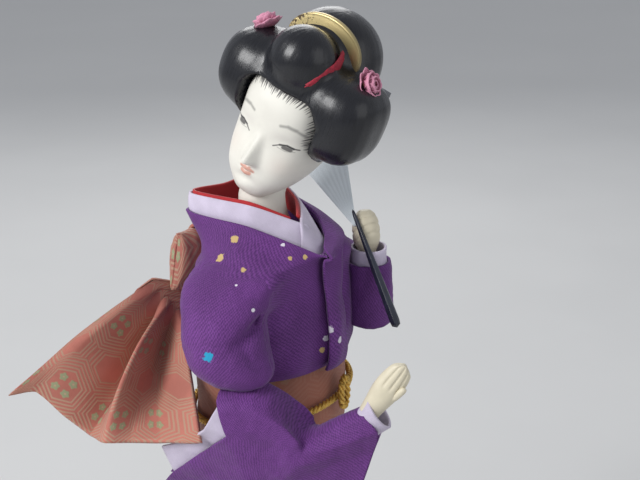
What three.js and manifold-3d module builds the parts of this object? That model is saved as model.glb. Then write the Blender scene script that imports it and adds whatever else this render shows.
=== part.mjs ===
// A standing geisha doll on a lacquered plinth: a painted head under moulded hair, a kimono
// with hanging sleeves, a brocade sash tied in a bow, and a fan in the raised left hand.
// Millimetres, +Z up. The doll's front faces -Y, its right hand is at -X, and the origin is
// the middle of the plinth's underside.

import * as THREE from "three";
import { mergeVertices } from "three/addons/utils/BufferGeometryUtils.js";
import Module from "manifold-3d";

const wasm = await Module();
wasm.setup();

// Fits and cloth.
const clearance = 0.3;
const kimonoWall = 1.3;
const underWall = 0.9;
const collarWall = 0.9;
const brocadeWall = 1.5;

// Plinth, screw and post.
const plinthWidth = 134;
const plinthDepth = 126;
const plinthHeight = 16;
const plinthCorner = 9;
const plinthChamfer = 2.5;
const postRadius = 5;
const postReach = 26;
const screwRadius = 1.8;
const screwHeadRadius = 4;
const screwHeadHeight = 2.4;
const screwGrip = 12;

// Heights of the figure: plinth to waist, the sash, sash to the seat of the neck.
const legHeight = 194;
const obiHeight = 40;
const chestHeight = 46;

// Half sizes of the padded body under the clothes.
const waistHalfWidth = 27;
const waistHalfDepth = 19;
const chestHalfWidth = 31.5;
const chestHalfDepth = 23;
const shoulderHalfWidth = 28;
const shoulderHalfDepth = 19;
const neckSeatHalfWidth = 13.5;
const neckSeatHalfDepth = 13.5;
const underGap = 2.2;
const formerGap = 1.2;
const hemHalfWidth = 56;
const hemHalfDepth = 51;
const skirtFold = 2.2;
const skirtTuck = 14;
const footLength = 34;
const footHalfWidth = 7;
const footHeight = 12;
const footSpread = 9;
const footForward = 15;

// Head, in its own frame: x to its left, y to its back, z up from the chin.
const headX = 5.5;
const headY = 5.4;
const headRise = 17.5;
const headYaw = -80;
const headRoll = 22.5;
const headPitch = -2;
const neckX = 0.5;
const neckY = 4.5;
const neckRadius = 8.8;
const neckTopRise = 30;
const neckFlare = [1.3, 1.1, 0.98, 0.98, 1];
const pegRadius = 3;
const pegDepth = 30;
const pegInNeck = 20;
const headLift = 36;
const noseReach = 5.2;

// Hair: centre and half sizes of each moulded lobe in the head's frame.
const capLobe = { centre: [0, 3, 31.5], half: [20.5, 23, 24], square: 1 };
const rightLobe = { centre: [-17.5, -0.5, 37], half: [15, 16, 15.5], square: 0.86 };
const leftLobe = { centre: [17.5, -0.5, 37], half: [15, 15.5, 15.5], square: 0.8 };
const frontLobe = { centre: [0, -9, 52], half: [12, 11.5, 11.5], square: 1 };
const knotLobe = { centre: [0, 13, 47.5], half: [18.5, 15.5, 19.5], square: 0.92 };
const hairlineHeight = 41.5;
const hairlineHalfWidth = 15.2;
const hairlineBack = -8.5;
const ribbonRadius = 12.2;
const ribbonTube = 1.5;
const ribbonCentre = [-0.5, -4, 46];
const ribbonTilt = 38;
const ribbonOpen = 0.25;
const combHalfWidth = 15.5;
const combRise = 11.5;
const combBase = 54.5;
const combTeeth = 9;
const combToothLength = 8;
const combWall = 2.4;
const combY = 2.8;
const combPull = 12;
const flowerRadius = 5.8;
const flowerHeight = 5;
const flowerPlace = [21.5, -0.5, 51.5];
const pinRadius = 0.7;
const pinLength = 14;
const pinSlope = 52;
const pinPull = 16;
const barSize = 2.6;
const barLength = 49;
const barEndLength = 3.4;
const barEndHeight = 10;
const barPlace = [-0.5, 9.5, 44.5];
const barPull = 30;

// Collars: points of the left half of each loop, from the front crossing to the middle back,
// with heights above the sash's upper edge.
const necklineHalf = [[0, -28.5, chestHeight - 4], [15, -4, chestHeight + 2.5], [21.5, 22, chestHeight + 7],
  [0, 28, chestHeight + 6]];
const collarTopHalf = [[0, -21.5, chestHeight + 7], [12.8, -2, chestHeight + 10.5], [19.5, 22, chestHeight + 13.5],
  [0, 25.6, chestHeight + 12.5]];
const collarTuck = 3.5;
const redRise = 1.1;
const crossLap = 3;
const lapelWidth = 7.5;
const lapelSpan = 1;
const lapelLean = 0.6;
const lapelColumns = 7;

// Arms: points of each padded wire from the shoulder socket to the hand.
const wireRadius = 1.5;
const rightArm = [[-22, -2, 33], [-34, -5, 33], [-38, -13, 18], [-37.8, -25, 5], [-36, -31, -9], [-31, -41, -17],
  [-22, -57, -6], [-19.5, -63.5, 0], [-18.2, -66, 4]];
const leftArm = [[22, 0, 33], [34, -1, 31], [35, -9, 19], [32.5, -18, 11], [31.5, -21.5, 19],
  [31.5, -21, 31], [31.8, -20.5, 36]];
const rightHandReach = 19;
const rightHandAim = [0.34, -0.42, 0.84];
const handHalfWidth = 4.7;
const handHalfDepth = 3.3;
const handSocket = 4;
const leftHandPlace = [32.2, -19.6, 41];
const fistHeight = 14;
const fistHalfWidth = 5.4;
const fistHalfDepth = 5;
const cuffShow = 3;

// Sleeves: the puffed upper arm as height, place and radius, then the hanging bag.
const rightPuff = [[40, -25, -4, 6], [36, -30, -7, 11], [29, -34.5, -10.5, 14], [18, -37.5, -14, 15.2],
  [11.5, -38.5, -16.5, 14.2], [6.5, -38.5, -19, 12], [0.5, -37.8, -23, 7.5]];
const leftPuff = [[37, 27, 0, 5], [33, 30.5, -2, 10], [25, 35, -5, 13], [16, 34.5, -12, 12],
  [9, 33, -18, 10], [4.5, 32.5, -19.5, 6]];
const leftForearm = [[31, 31, -22, 8.6], [20, 31, -22.5, 9.2], [9, 31.5, -22, 9.4], [5, 32, -21.5, 6.5]];
const rightBag = {
  rear: [-39.5, -24], front: [-19.6, -62.4], topRear: 5.5, topMiddle: -12.5, topFront: 6.5, halfRear: 11.5,
  halfFront: 8, bottom: -43, rearSweep: 20, cuffLean: 0.55, cuffDepth: 15,
};
const leftBag = {
  rear: [45, 20], front: [42, 4], topRear: 23, topMiddle: 23.5, topFront: 24, halfRear: 6.5,
  halfFront: 6.5, bottom: -24, rearSweep: 4, cuffLean: 0, cuffDepth: 10,
};
const furiShow = 9;
const leftCuffShow = 5.5;

// Fan.
const fanHandleTop = [27.4, -16.6, 51];
const fanHandleFoot = [21.5, -44, 12.4];
const fanHandleThin = 0.9;
const fanHandleThick = 2.1;
const fanApex = [25.9, -20.4, 43.9];
const fanCornerNear = [31.2, 16.5, 64];
const fanCornerFar = [46.5, 4.5, 71.5];
const fanWall = 0.8;
const fanPleats = 7;
const pleatDepth = 0.9;

// Sash bow: ends of its fold lines, each with the shift of the line's middle.
const bowStrapEdge = [[-8.8, 34, 17], [-8.8, 32.5, 6]];
const bowGather = [[-25, 39, 23], [-15, 35, 8]];
const rightWing = [
  [[-83, 54, -10], [0, 0, 2]], [[-73.5, 50.5, -11], [-1, -1, 3]], [[-70.5, 39, -17.5], [5, 3, -4]],
  [[-68, 28, -22], [-1, 0, 2]], [[-65, 20, -24], [-6, -2, 4]], [[-62, 11, -22.5], [0, 4, -1]],
  [[-57.5, 1, -20], [-2, 8, -3]], [[-52.5, -13, -15.5], [-7, 13, -1]],
];
const leftWing = [
  [[78, 58, -8], [0, 0, 2]], [[71, 55, -11], [1, -1, 3]], [[67, 48, -18], [-4, 3, -4]],
  [[62, 43, -24], [1, 0, 2]], [[57, 41, -27], [4, -2, 4]], [[51, 40, -28], [-3, 4, -1]],
  [[44, 39, -29], [1, 4, -2]], [[37, 38, -30], [3, 4, 0]],
];
const loopHalfWidthTop = 13;
const loopHalfWidthFoot = 19;
const loopHeight = 23;
const loopDepth = 11;
const loopBase = 18.5;
const strapHalfWidth = 8;
const strapDrop = 10;

// Cord round the sash.
const cordRadius = 1.4;
const cordHeight = 21;
const cordTilt = 1.5;
const obiSwell = 0.6;
const cordKnotX = 10;
const cordKnotHalfHeight = 6;
const cordKnotHalfWidth = 2.3;

// Facets.
const sliver = 0.006;
const ringSteps = 24;
const halfLoopSteps = 13;

const materials = {
  lacquer: finish("lacquer", 0x16110f, 0.25, 0),
  wood: finish("wood", 0xa98a60, 0.7, 0),
  steel: finish("steel", 0x9a9a98, 0.35, 1),
  straw: finish("straw", 0xb9a67c, 0.9, 0),
  porcelain: finish("porcelain", 0xe2dccd, 0.45, 0),
  hand: finish("hand", 0xd8cfae, 0.5, 0),
  hair: finish("hair", 0x0e0f14, 0.28, 0),
  gold: finish("gold", 0xb8923c, 0.4, 0.6),
  pink: finish("pink", 0xc44a72, 0.6, 0),
  red: finish("red", 0xb3242a, 0.8, 0),
  white: finish("white", 0xc9c0d6, 0.85, 0),
  purple: finish("purple", 0x5b2f78, 0.75, 0),
  brocade: finish("brocade", 0xa9583f, 0.65, 0),
  paper: finish("paper", 0xcfdade, 0.8, 0),
};

function finish(name, color, roughness, metalness) {
  return new THREE.MeshStandardMaterial({ name, color, roughness, metalness });
}

const V = (x, y, z) => new THREE.Vector3(x, y, z);
const toVectors = (rows) => rows.map((row) => V(...row));
const mix = THREE.MathUtils.lerp;
const radians = THREE.MathUtils.degToRad;

// Shape helpers.

function quad(a, b, c, d) {
  return [[a, b, c], [a, c, d]];
}

// A closed body from points and triangles, turned to face outwards.
function bodyOf(points, faces) {
  const edge = new THREE.Vector3();
  let volume = 0;
  for (const [a, b, c] of faces) {
    volume += points[a].dot(edge.crossVectors(points[b], points[c]));
  }
  const ordered = volume < 0 ? faces.map(([a, b, c]) => [a, c, b]) : faces;
  const geometry = new THREE.BufferGeometry().setFromPoints(points);
  geometry.setIndex(ordered.flat());
  return geometry;
}

// A solid through closed rings of equal count, capped at both ends.
function loft(rings) {
  const count = rings[0].length;
  const points = rings.flat();
  const faces = [];
  for (let i = 0; i < rings.length - 1; i += 1) {
    for (let j = 0; j < count; j += 1) {
      const next = (j + 1) % count;
      faces.push(...quad(i * count + j, i * count + next, (i + 1) * count + next, (i + 1) * count + j));
    }
  }
  for (const [first, ring] of [[0, rings[0]], [points.length - count, rings.at(-1)]]) {
    const middle = points.length;
    points.push(ring.reduce((sum, point) => sum.add(point), V(0, 0, 0)).divideScalar(count));
    for (let j = 0; j < count; j += 1) {
      const pair = [first + j, first + ((j + 1) % count)];
      faces.push(first === 0 ? [middle, pair[1], pair[0]] : [middle, pair[0], pair[1]]);
    }
  }
  return bodyOf(points, faces);
}

// Rows of points moved along the normal of the surface that they span.
function offsetRows(rows, distance, wraps) {
  const last = rows.length - 1;
  return rows.map((row, i) => row.map((point, j) => {
    const count = row.length;
    const left = row[wraps ? (j + count - 1) % count : Math.max(j - 1, 0)];
    const right = row[wraps ? (j + 1) % count : Math.min(j + 1, count - 1)];
    const below = rows[Math.max(i - 1, 0)][j];
    const above = rows[Math.min(i + 1, last)][j];
    const normal = right.clone().sub(left).cross(above.clone().sub(below)).normalize();
    return point.clone().addScaledVector(normal, distance);
  }));
}

// A cloth wall between rows of outer points and the same rows moved inwards.
function cloth(rows, wall, wraps = false) {
  const count = rows[0].length;
  const total = rows.length * count;
  const points = [...rows.flat(), ...offsetRows(rows, -wall, wraps).flat()];
  const faces = [];
  const columns = wraps ? count : count - 1;
  const at = (i, j) => i * count + (j % count);
  for (let i = 0; i < rows.length - 1; i += 1) {
    for (let j = 0; j < columns; j += 1) {
      const [a, b, c, d] = [at(i, j), at(i, j + 1), at(i + 1, j + 1), at(i + 1, j)];
      faces.push(...quad(a, b, c, d));
      faces.push(...quad(a + total, d + total, c + total, b + total));
    }
  }
  const top = rows.length - 1;
  for (let j = 0; j < columns; j += 1) {
    faces.push(...quad(at(0, j + 1), at(0, j), at(0, j) + total, at(0, j + 1) + total));
    faces.push(...quad(at(top, j), at(top, j + 1), at(top, j + 1) + total, at(top, j) + total));
  }
  if (!wraps) {
    for (let i = 0; i < top; i += 1) {
      faces.push(...quad(at(i, 0), at(i + 1, 0), at(i + 1, 0) + total, at(i, 0) + total));
      const end = count - 1;
      faces.push(...quad(at(i + 1, end), at(i, end), at(i, end) + total, at(i + 1, end) + total));
    }
  }
  return bodyOf(points, faces);
}

// A round tube that closes on itself along a loop.
function loopTube(curve, radius, sides, steps) {
  const frames = curve.computeFrenetFrames(steps, true);
  const points = [];
  const faces = [];
  for (let i = 0; i < steps; i += 1) {
    const centre = curve.getPointAt(i / steps);
    for (let j = 0; j < sides; j += 1) {
      const angle = (2 * Math.PI * j) / sides;
      const point = centre.clone().addScaledVector(frames.normals[i], radius * Math.cos(angle));
      points.push(point.addScaledVector(frames.binormals[i], radius * Math.sin(angle)));
      const after = (i + 1) % steps;
      const next = (j + 1) % sides;
      faces.push(...quad(i * sides + j, i * sides + next, after * sides + next, after * sides + j));
    }
  }
  return bodyOf(points, faces);
}

// A round rod along an open curve.
function rod(curve, radius, sides, steps) {
  const section = new THREE.Shape().absarc(0, 0, radius, 0, 2 * Math.PI);
  const options = { steps, curveSegments: sides / 2, bevelEnabled: false, extrudePath: curve };
  return new THREE.ExtrudeGeometry(section, options);
}

function pin(from, to, radius, sides = 12) {
  return rod(new THREE.LineCurve3(from, to), radius, sides, 1);
}

function ellipse(halfWidth, halfDepth, centreX, centreY, z, count = ringSteps) {
  return Array.from({ length: count }, (_, k) => {
    const angle = (2 * Math.PI * k) / count;
    return V(centreX + halfWidth * Math.cos(angle), centreY + halfDepth * Math.sin(angle), z);
  });
}

// An ellipse in the plane across a direction.
function crossRing(centre, across, along, halfWidth, halfDepth, count = 16) {
  return Array.from({ length: count }, (_, k) => {
    const angle = (2 * Math.PI * k) / count;
    const point = centre.clone().addScaledVector(across, halfWidth * Math.cos(angle));
    return point.addScaledVector(along, halfDepth * Math.sin(angle));
  });
}

// A row of numbers between rows of a table, on a smooth curve through them.
function between(rows, share) {
  const place = share * (rows.length - 1);
  const index = Math.min(Math.floor(place), rows.length - 2);
  const t = place - index;
  const row = (k) => rows[THREE.MathUtils.clamp(k, 0, rows.length - 1)];
  const [p, q, r, s] = [row(index - 1), row(index), row(index + 1), row(index + 2)];
  return q.map((value, k) => {
    const rise = (r[k] - p[k]) / 2;
    const fall = (s[k] - value) / 2;
    const swing = 3 * (r[k] - value) - 2 * rise - fall;
    const bend = rise + fall - 2 * (r[k] - value);
    return value + rise * t + swing * t * t + bend * t * t * t;
  });
}

// Booleans.

function solid(geometry) {
  const bare = new THREE.BufferGeometry();
  bare.setAttribute("position", geometry.getAttribute("position"));
  bare.setIndex(geometry.getIndex());
  const merged = mergeVertices(bare, 1e-4);
  const vertProperties = new Float32Array(merged.getAttribute("position").array);
  const triVerts = new Uint32Array(merged.getIndex().array);
  return new wasm.Manifold(new wasm.Mesh({ numProp: 3, vertProperties, triVerts }));
}

function shapeOf(body) {
  const mesh = body.getMesh();
  const geometry = new THREE.BufferGeometry();
  geometry.setAttribute("position", new THREE.BufferAttribute(new Float32Array(mesh.vertProperties), 3));
  geometry.setIndex(new THREE.BufferAttribute(new Uint32Array(mesh.triVerts), 1));
  return geometry;
}

// The largest of the bodies that a cut leaves.
function largest(body) {
  const pieces = body.decompose();
  return pieces.reduce((best, piece) => (piece.volume() > best.volume() ? piece : best));
}

// The first shape less the others, with edges shorter than a sliver closed up.
function cut(geometry, ...tools) {
  const left = tools.reduce((body, tool) => body.subtract(solid(tool)), solid(geometry));
  return shapeOf(largest(left).simplify(sliver));
}

function join(...geometries) {
  const [first, ...rest] = geometries.map(solid);
  return shapeOf(rest.reduce((body, other) => body.add(other), first));
}

// Loops round the body, counted from the front and turning to the doll's left.

const halfAngles = [[-90], [-15], [40], [90]];

function bodyLoop(halfWidth, halfDepth, centreY, z) {
  const points = [];
  for (let k = 0; k < 2 * halfLoopSteps; k += 1) {
    const share = k <= halfLoopSteps ? k / halfLoopSteps : 2 - k / halfLoopSteps;
    const angle = radians(between(halfAngles, share)[0]);
    const side = k <= halfLoopSteps ? 1 : -1;
    points.push(V(side * halfWidth * Math.cos(angle), centreY + halfDepth * Math.sin(angle), z));
  }
  return points;
}

function mirrored(point) {
  return V(-point.x, point.y, point.z);
}

function neckLoop(half) {
  const left = new THREE.CatmullRomCurve3(toVectors(half), false, "centripetal").getPoints(halfLoopSteps);
  const right = left.slice(1, -1).reverse().map(mirrored);
  return [...left, ...right];
}

// Plinth and inner figure.

function plinth() {
  const [halfWidth, halfDepth] = [plinthWidth / 2 - plinthChamfer, plinthDepth / 2 - plinthChamfer];
  const outline = new THREE.Shape();
  outline.moveTo(-halfWidth + plinthCorner, -halfDepth);
  outline.lineTo(halfWidth - plinthCorner, -halfDepth);
  outline.absarc(halfWidth - plinthCorner, -halfDepth + plinthCorner, plinthCorner, -Math.PI / 2, 0);
  outline.lineTo(halfWidth, halfDepth - plinthCorner);
  outline.absarc(halfWidth - plinthCorner, halfDepth - plinthCorner, plinthCorner, 0, Math.PI / 2);
  outline.lineTo(-halfWidth + plinthCorner, halfDepth);
  outline.absarc(-halfWidth + plinthCorner, halfDepth - plinthCorner, plinthCorner, Math.PI / 2, Math.PI);
  outline.lineTo(-halfWidth, -halfDepth + plinthCorner);
  outline.absarc(-halfWidth + plinthCorner, -halfDepth + plinthCorner, plinthCorner, Math.PI, 1.5 * Math.PI);
  const geometry = new THREE.ExtrudeGeometry(outline, {
    depth: plinthHeight - 2 * plinthChamfer, curveSegments: 3, bevelEnabled: true,
    bevelThickness: plinthChamfer, bevelSize: plinthChamfer, bevelSegments: 1,
  });
  geometry.translate(0, 0, plinthChamfer);
  const headTop = screwHeadHeight + clearance;
  const headHole = pin(V(0, 0, -1), V(0, 0, headTop), screwHeadRadius + clearance, 20);
  const shankHole = pin(V(0, 0, 0), V(0, 0, plinthHeight + 1), screwRadius + clearance, 16);
  return cut(geometry, headHole, shankHole);
}

function baseScrew() {
  const profile = [
    [0, 0], [screwHeadRadius, 0], [screwHeadRadius, screwHeadHeight],
    [screwRadius, screwHeadHeight], [screwRadius, plinthHeight + screwGrip - 2],
    [0, plinthHeight + screwGrip],
  ].map(([radius, z]) => new THREE.Vector2(radius, z));
  return new THREE.LatheGeometry(profile, 16).rotateX(Math.PI / 2);
}

function supportPost() {
  const post = pin(V(0, 0, 0), V(0, 0, legHeight + postReach), postRadius, 16);
  const hole = pin(V(0, 0, -1), V(0, 0, screwGrip + clearance), screwRadius + clearance, 16);
  return cut(post, hole);
}

// Half sizes of the skirt's inside at a share of its height, from hem to waist.
const skirtRows = [
  [hemHalfWidth, hemHalfDepth], [44, 39], [37.5, 32.5], [34.5, 29], [33.5, 27.5], [33.5, 27],
  [32.5, 26], [waistHalfWidth + clearance, waistHalfDepth + clearance],
];

// The stuffed form under the skirts, held by the post above the feet.
function skirtFormer() {
  const inset = underGap + underWall + clearance + formerGap;
  const rings = skirtRows.slice(1).map((row, k) => {
    const z = (legHeight * (k + 1)) / (skirtRows.length - 1);
    const [halfWidth, halfDepth] = row.map((size, axis) => Math.max(size - inset, [18, 14][axis]));
    return ellipse(halfWidth, halfDepth, 0, 0, z, 16);
  });
  const bore = pin(V(0, 0, -1), V(0, 0, legHeight + 1), postRadius + clearance, 16);
  return cut(loft(rings), bore);
}

function torsoStations(grow) {
  const up = (share) => obiHeight + share * chestHeight;
  return [
    [0, waistHalfWidth, waistHalfDepth, 0], [obiHeight, waistHalfWidth, waistHalfDepth, 0],
    [up(0.45), chestHalfWidth, chestHalfDepth, 0], [up(0.74), shoulderHalfWidth, shoulderHalfDepth, 0],
    [up(0.9), 0.5 * (shoulderHalfWidth + neckSeatHalfWidth), 16, 2],
    [up(1) + grow, neckSeatHalfWidth, neckSeatHalfDepth, 3],
  ].map(([z, halfWidth, halfDepth, y]) => ellipse(halfWidth + grow, halfDepth + grow, 0, y, z));
}

function torsoForm() {
  const top = obiHeight + chestHeight;
  const postHole = pin(V(0, 0, -1), V(0, 0, postReach + clearance), postRadius + clearance, 16);
  const pegHole = pin(V(neckX, neckY, top - pegDepth - clearance), V(neckX, neckY, top + 1),
    pegRadius + clearance, 16);
  const sockets = [rightArm, leftArm].map((arm) => armWire(arm, clearance).translate(0, 0, obiHeight));
  return cut(loft(torsoStations(0)), postHole, pegHole, ...sockets);
}

function foot(side, grow) {
  const shares = [[0, 0.72, 0.55], [0.12, 0.9, 0.9], [0.45, 0.85, 1], [0.75, 1, 0.72], [0.95, 0.8, 0.5], [1, 0.5, 0.4]];
  const rings = shares.map(([share, wide, high]) => {
    const y = footForward - (footLength + 2 * grow) * share + grow;
    const halfHeight = (footHeight * high) / 2 + grow;
    const centre = V(side * footSpread, y, halfHeight - grow);
    return crossRing(centre, V(1, 0, 0), V(0, 0, 1), footHalfWidth * wide + grow, halfHeight, 12);
  });
  return loft(rings).translate(0, -26, 0);
}

// Head and hair.

const headPose = new THREE.Object3D();
headPose.position.set(headX, headY, chestHeight + headRise);
headPose.rotation.set(radians(headPitch), radians(headRoll), radians(headYaw), "ZYX");
headPose.updateMatrix();
const intoHead = headPose.matrix.clone().invert();

// Rows of the head: height, half width, front, back.
const headRows = [
  [-3, 3, -12, -8], [-1.6, 6.4, -16, -4], [2, 9.8, -18, 0], [7, 13.2, -19.6, 6], [13, 15.4, -19.6, 13],
  [20, 16.6, -18.8, 18], [28, 16.9, -19.2, 21], [36, 16.8, -18.8, 22], [43, 14.6, -15.4, 20],
  [49, 9.4, -8.6, 14], [51.5, 3, -1, 7],
];

function featureReach(x, z) {
  const bell = (value, middle, spread) => Math.exp(-(((value - middle) / spread) ** 2));
  const bridge = THREE.MathUtils.smoothstep(26.5 - z, 0, 13) * THREE.MathUtils.smoothstep(z, 10.6, 13.2);
  const nose = noseReach * bridge * bell(x, 0, 1.7 + 0.1 * Math.max(24 - z, 0));
  const sockets = -1.3 * bell(z, 22.8, 3) * (bell(x, 9, 5) + bell(x, -9, 5));
  const lips = 1.3 * bell(z, 8.5, 1.9) * bell(x, 0, 3.6);
  const chin = 1.2 * bell(z, 2.2, 2.4) * bell(x, 0, 4);
  return nose + sockets + lips + chin;
}

function headShell(grow, rows, steps) {
  const rings = [];
  for (let i = 0; i <= rows; i += 1) {
    const [z, halfWidth, front, back] = between(headRows, i / rows);
    const middle = mix(front, back, 0.52);
    const ring = [];
    for (let j = 0; j < steps; j += 1) {
      const angle = (2 * Math.PI * j) / steps;
      const [c, s] = [Math.cos(angle), Math.sin(angle)];
      const x = Math.sign(c) * Math.abs(c) ** 0.75 * (halfWidth + grow);
      const reach = s < 0 ? middle - front + grow : back - middle + grow;
      const feature = s < 0 ? featureReach(x, z) * s : 0;
      const lift = grow * (2 * (i / rows) - 1);
      const round = Math.sign(s) * Math.abs(s) ** 0.75;
      ring.push(V(x, middle + round * reach + feature, z + lift));
    }
    rings.push(ring);
  }
  return loft(rings);
}

function neckSpace(grow) {
  const heights = [0, 6, 13, 20, neckTopRise];
  const rings = heights.map((rise, k) => {
    const radius = neckRadius * neckFlare[k] + grow;
    const slide = (0.35 * Math.max(rise - 13, 0));
    return ellipse(radius, radius, neckX + slide, neckY, chestHeight + clearance + rise, 24);
  });
  return loft(rings);
}

// The way that the foot of the neck takes when the head is lifted off.
function neckRoom() {
  const foot = V(neckX, neckY, chestHeight + clearance);
  const lifted = foot.clone().add(V(0, 0, headLift));
  return join(neckSpace(clearance), pin(foot, lifted, neckRadius * neckFlare[0] + 2 * clearance, 24));
}

function neckBody(grow) {
  return neckSpace(grow).applyMatrix4(intoHead);
}

function head() {
  const bore = pin(V(neckX, neckY, chestHeight - 1), V(neckX, neckY, chestHeight + pegInNeck + clearance),
    pegRadius + clearance, 16).applyMatrix4(intoHead);
  return cut(join(headShell(0, 25, 28), neckBody(0)), bore, ...hairFittings());
}

function neckPeg() {
  return pin(V(neckX, neckY, chestHeight - pegDepth), V(neckX, neckY, chestHeight + pegInNeck), pegRadius, 16);
}

// A lobe of moulded hair: an egg whose squareness flattens its sides.
function lobe({ centre, half, square }, grow) {
  const power = (value) => Math.sign(value) * Math.abs(value) ** square;
  const rings = [];
  const bands = 10;
  for (let i = 1; i < bands; i += 1) {
    const tilt = Math.PI * (i / bands - 0.5);
    const ring = Array.from({ length: 18 }, (_, k) => {
      const angle = (2 * Math.PI * k) / 18;
      return V(
        centre[0] + (half[0] + grow) * Math.cos(tilt) ** square * power(Math.cos(angle)),
        centre[1] + (half[1] + grow) * Math.cos(tilt) ** square * power(Math.sin(angle)),
        centre[2] + (half[2] + grow) * power(Math.sin(tilt)),
      );
    });
    rings.push(ring);
  }
  return loft(rings);
}

// The opening that the hairline leaves for the face.
function faceWindow() {
  const outline = new THREE.Shape();
  const corner = 7;
  outline.moveTo(-hairlineHalfWidth, -20);
  outline.lineTo(hairlineHalfWidth, -20);
  outline.lineTo(hairlineHalfWidth, hairlineHeight - corner);
  outline.quadraticCurveTo(hairlineHalfWidth, hairlineHeight, hairlineHalfWidth - corner, hairlineHeight);
  outline.lineTo(corner - hairlineHalfWidth, hairlineHeight);
  outline.quadraticCurveTo(-hairlineHalfWidth, hairlineHeight, -hairlineHalfWidth, hairlineHeight - corner);
  outline.lineTo(-hairlineHalfWidth, -20);
  const depth = 40;
  const block = new THREE.ExtrudeGeometry(outline, { depth, bevelEnabled: false, curveSegments: 6 });
  return block.rotateX(Math.PI / 2).translate(0, hairlineBack, 0);
}

// What is let into head and hair: ribbon, comb, pins and bar, with room to draw each of them out.
function hairFittings() {
  const pins = [-1, 1].map((side) => flowerPin(side, clearance, pinPull));
  return [ribbon(clearance), combSlot(), ...pins, hairBar(clearance, barPull)];
}

function hairPieces() {
  const order = [
    ["hair_cap", capLobe], ["hair_side_right", rightLobe], ["hair_side_left", leftLobe],
    ["hair_front_lock", frontLobe], ["hair_topknot", knotLobe],
  ];
  const fittings = [headShell(2 * clearance, 13, 26), neckBody(clearance), faceWindow(), ...hairFittings()];
  const nape = new THREE.BoxGeometry(80, 80, 40).translate(0, 0, -10);
  return order.map(([name, spec], index) => {
    const earlier = order.slice(0, index).map(([, other]) => lobe(other, clearance));
    const under = name === "hair_cap" ? [nape] : [];
    return [name, cut(lobe(spec, 0), ...earlier, ...fittings, ...under)];
  });
}

// A ribbon round the foot of the front lock, open at the back.
function ribbon(grow) {
  const tilt = radians(ribbonTilt);
  const arc = Array.from({ length: 13 }, (_, k) => {
    const angle = mix(Math.PI - ribbonOpen, 2 * Math.PI + ribbonOpen, k / 12) + (grow / ribbonRadius) * (k / 6 - 1);
    const forward = ribbonRadius * Math.sin(angle);
    return V(
      ribbonCentre[0] + ribbonRadius * Math.cos(angle),
      ribbonCentre[1] + forward * Math.cos(tilt),
      ribbonCentre[2] + forward * Math.sin(tilt),
    );
  });
  return rod(new THREE.CatmullRomCurve3(arc), ribbonTube + grow, 8, 18);
}

// Comb: a crescent spine over straight teeth, in the plane across the head.
function combOutline(halfWidth, rise, toothLength, teeth) {
  const outline = new THREE.Shape();
  outline.moveTo(halfWidth, 0);
  const steps = 14;
  for (let k = 1; k < steps; k += 1) {
    const angle = (Math.PI * k) / steps;
    outline.lineTo(halfWidth * Math.cos(angle), rise * Math.sin(angle));
  }
  outline.lineTo(-halfWidth, 0);
  const pitch = (2 * halfWidth) / (2 * teeth + 1);
  for (let k = 0; k < teeth; k += 1) {
    const x = -halfWidth + pitch * (2 * k + 1);
    outline.lineTo(x, 0);
    outline.lineTo(x, -toothLength);
    outline.lineTo(x + pitch, -toothLength);
    outline.lineTo(x + pitch, 0);
  }
  outline.lineTo(halfWidth, 0);
  return outline;
}

function comb() {
  const outline = combOutline(combHalfWidth, combRise, combToothLength, combTeeth);
  const plate = new THREE.ExtrudeGeometry(outline, { depth: combWall, bevelEnabled: false });
  return plate.rotateX(Math.PI / 2).translate(0, combY + combWall / 2, combBase);
}

function combSlot() {
  const width = 2 * (combHalfWidth + clearance);
  const height = combRise + combToothLength + 2 * clearance + combPull;
  const wall = combWall + 2 * clearance;
  const slot = new THREE.BoxGeometry(width, wall, height);
  return slot.translate(0, combY, combBase - combToothLength - clearance + height / 2);
}

// A rosette of five petals on a pin that points down into the hair; pull gives the room to draw it out.
function flowerPin(side, grow, pull = 0) {
  const crown = pull > 0 ? [[1, 1 + pull / flowerHeight]] : [[0.82, 0.75], [0.45, 0.98], [0.2, 0.9]];
  const rings = [[0.35, 0], [0.85, 0.05], [1, 0.4], ...crown].map(([wide, high]) => {
    return Array.from({ length: 20 }, (_, k) => {
      const angle = (2 * Math.PI * k) / 20;
      const radius = (flowerRadius * wide) * (1 + 0.1 * Math.cos(5 * angle)) + grow;
      return V(radius * Math.cos(angle), radius * Math.sin(angle), flowerHeight * high + (high > 0.5 ? grow : -grow));
    });
  });
  const shaft = pin(V(0, 0, -pinLength - grow), V(0, 0, 1), pinRadius + grow, 8);
  const body = join(loft(rings), shaft);
  body.rotateY(radians(side * pinSlope));
  return body.translate(side * flowerPlace[0], flowerPlace[1], flowerPlace[2]);
}

// A bar through the topknot, with a block on its left end; pull gives the room to draw it out.
function hairBar(grow, pull = 0) {
  const size = barSize + 2 * grow;
  const shaft = new THREE.BoxGeometry(barLength + 2 * grow, size, size);
  const block = new THREE.BoxGeometry(barEndLength + 2 * grow + pull, size + 1, barEndHeight + 2 * grow);
  block.translate((barLength + barEndLength + pull) / 2 - 0.5, 0, 0);
  return join(shaft, block).translate(...barPlace);
}

// Collars and bodice.

const obiOuterWidth = waistHalfWidth + 2 * kimonoWall + 3 * clearance + brocadeWall;
const obiOuterDepth = waistHalfDepth + 2 * kimonoWall + 3 * clearance + brocadeWall;
const hemOuterWidth = obiOuterWidth + 3 * clearance + kimonoWall;
const hemOuterDepth = obiOuterDepth + 3 * clearance + kimonoWall;
const bodiceLap = 2;

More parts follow.
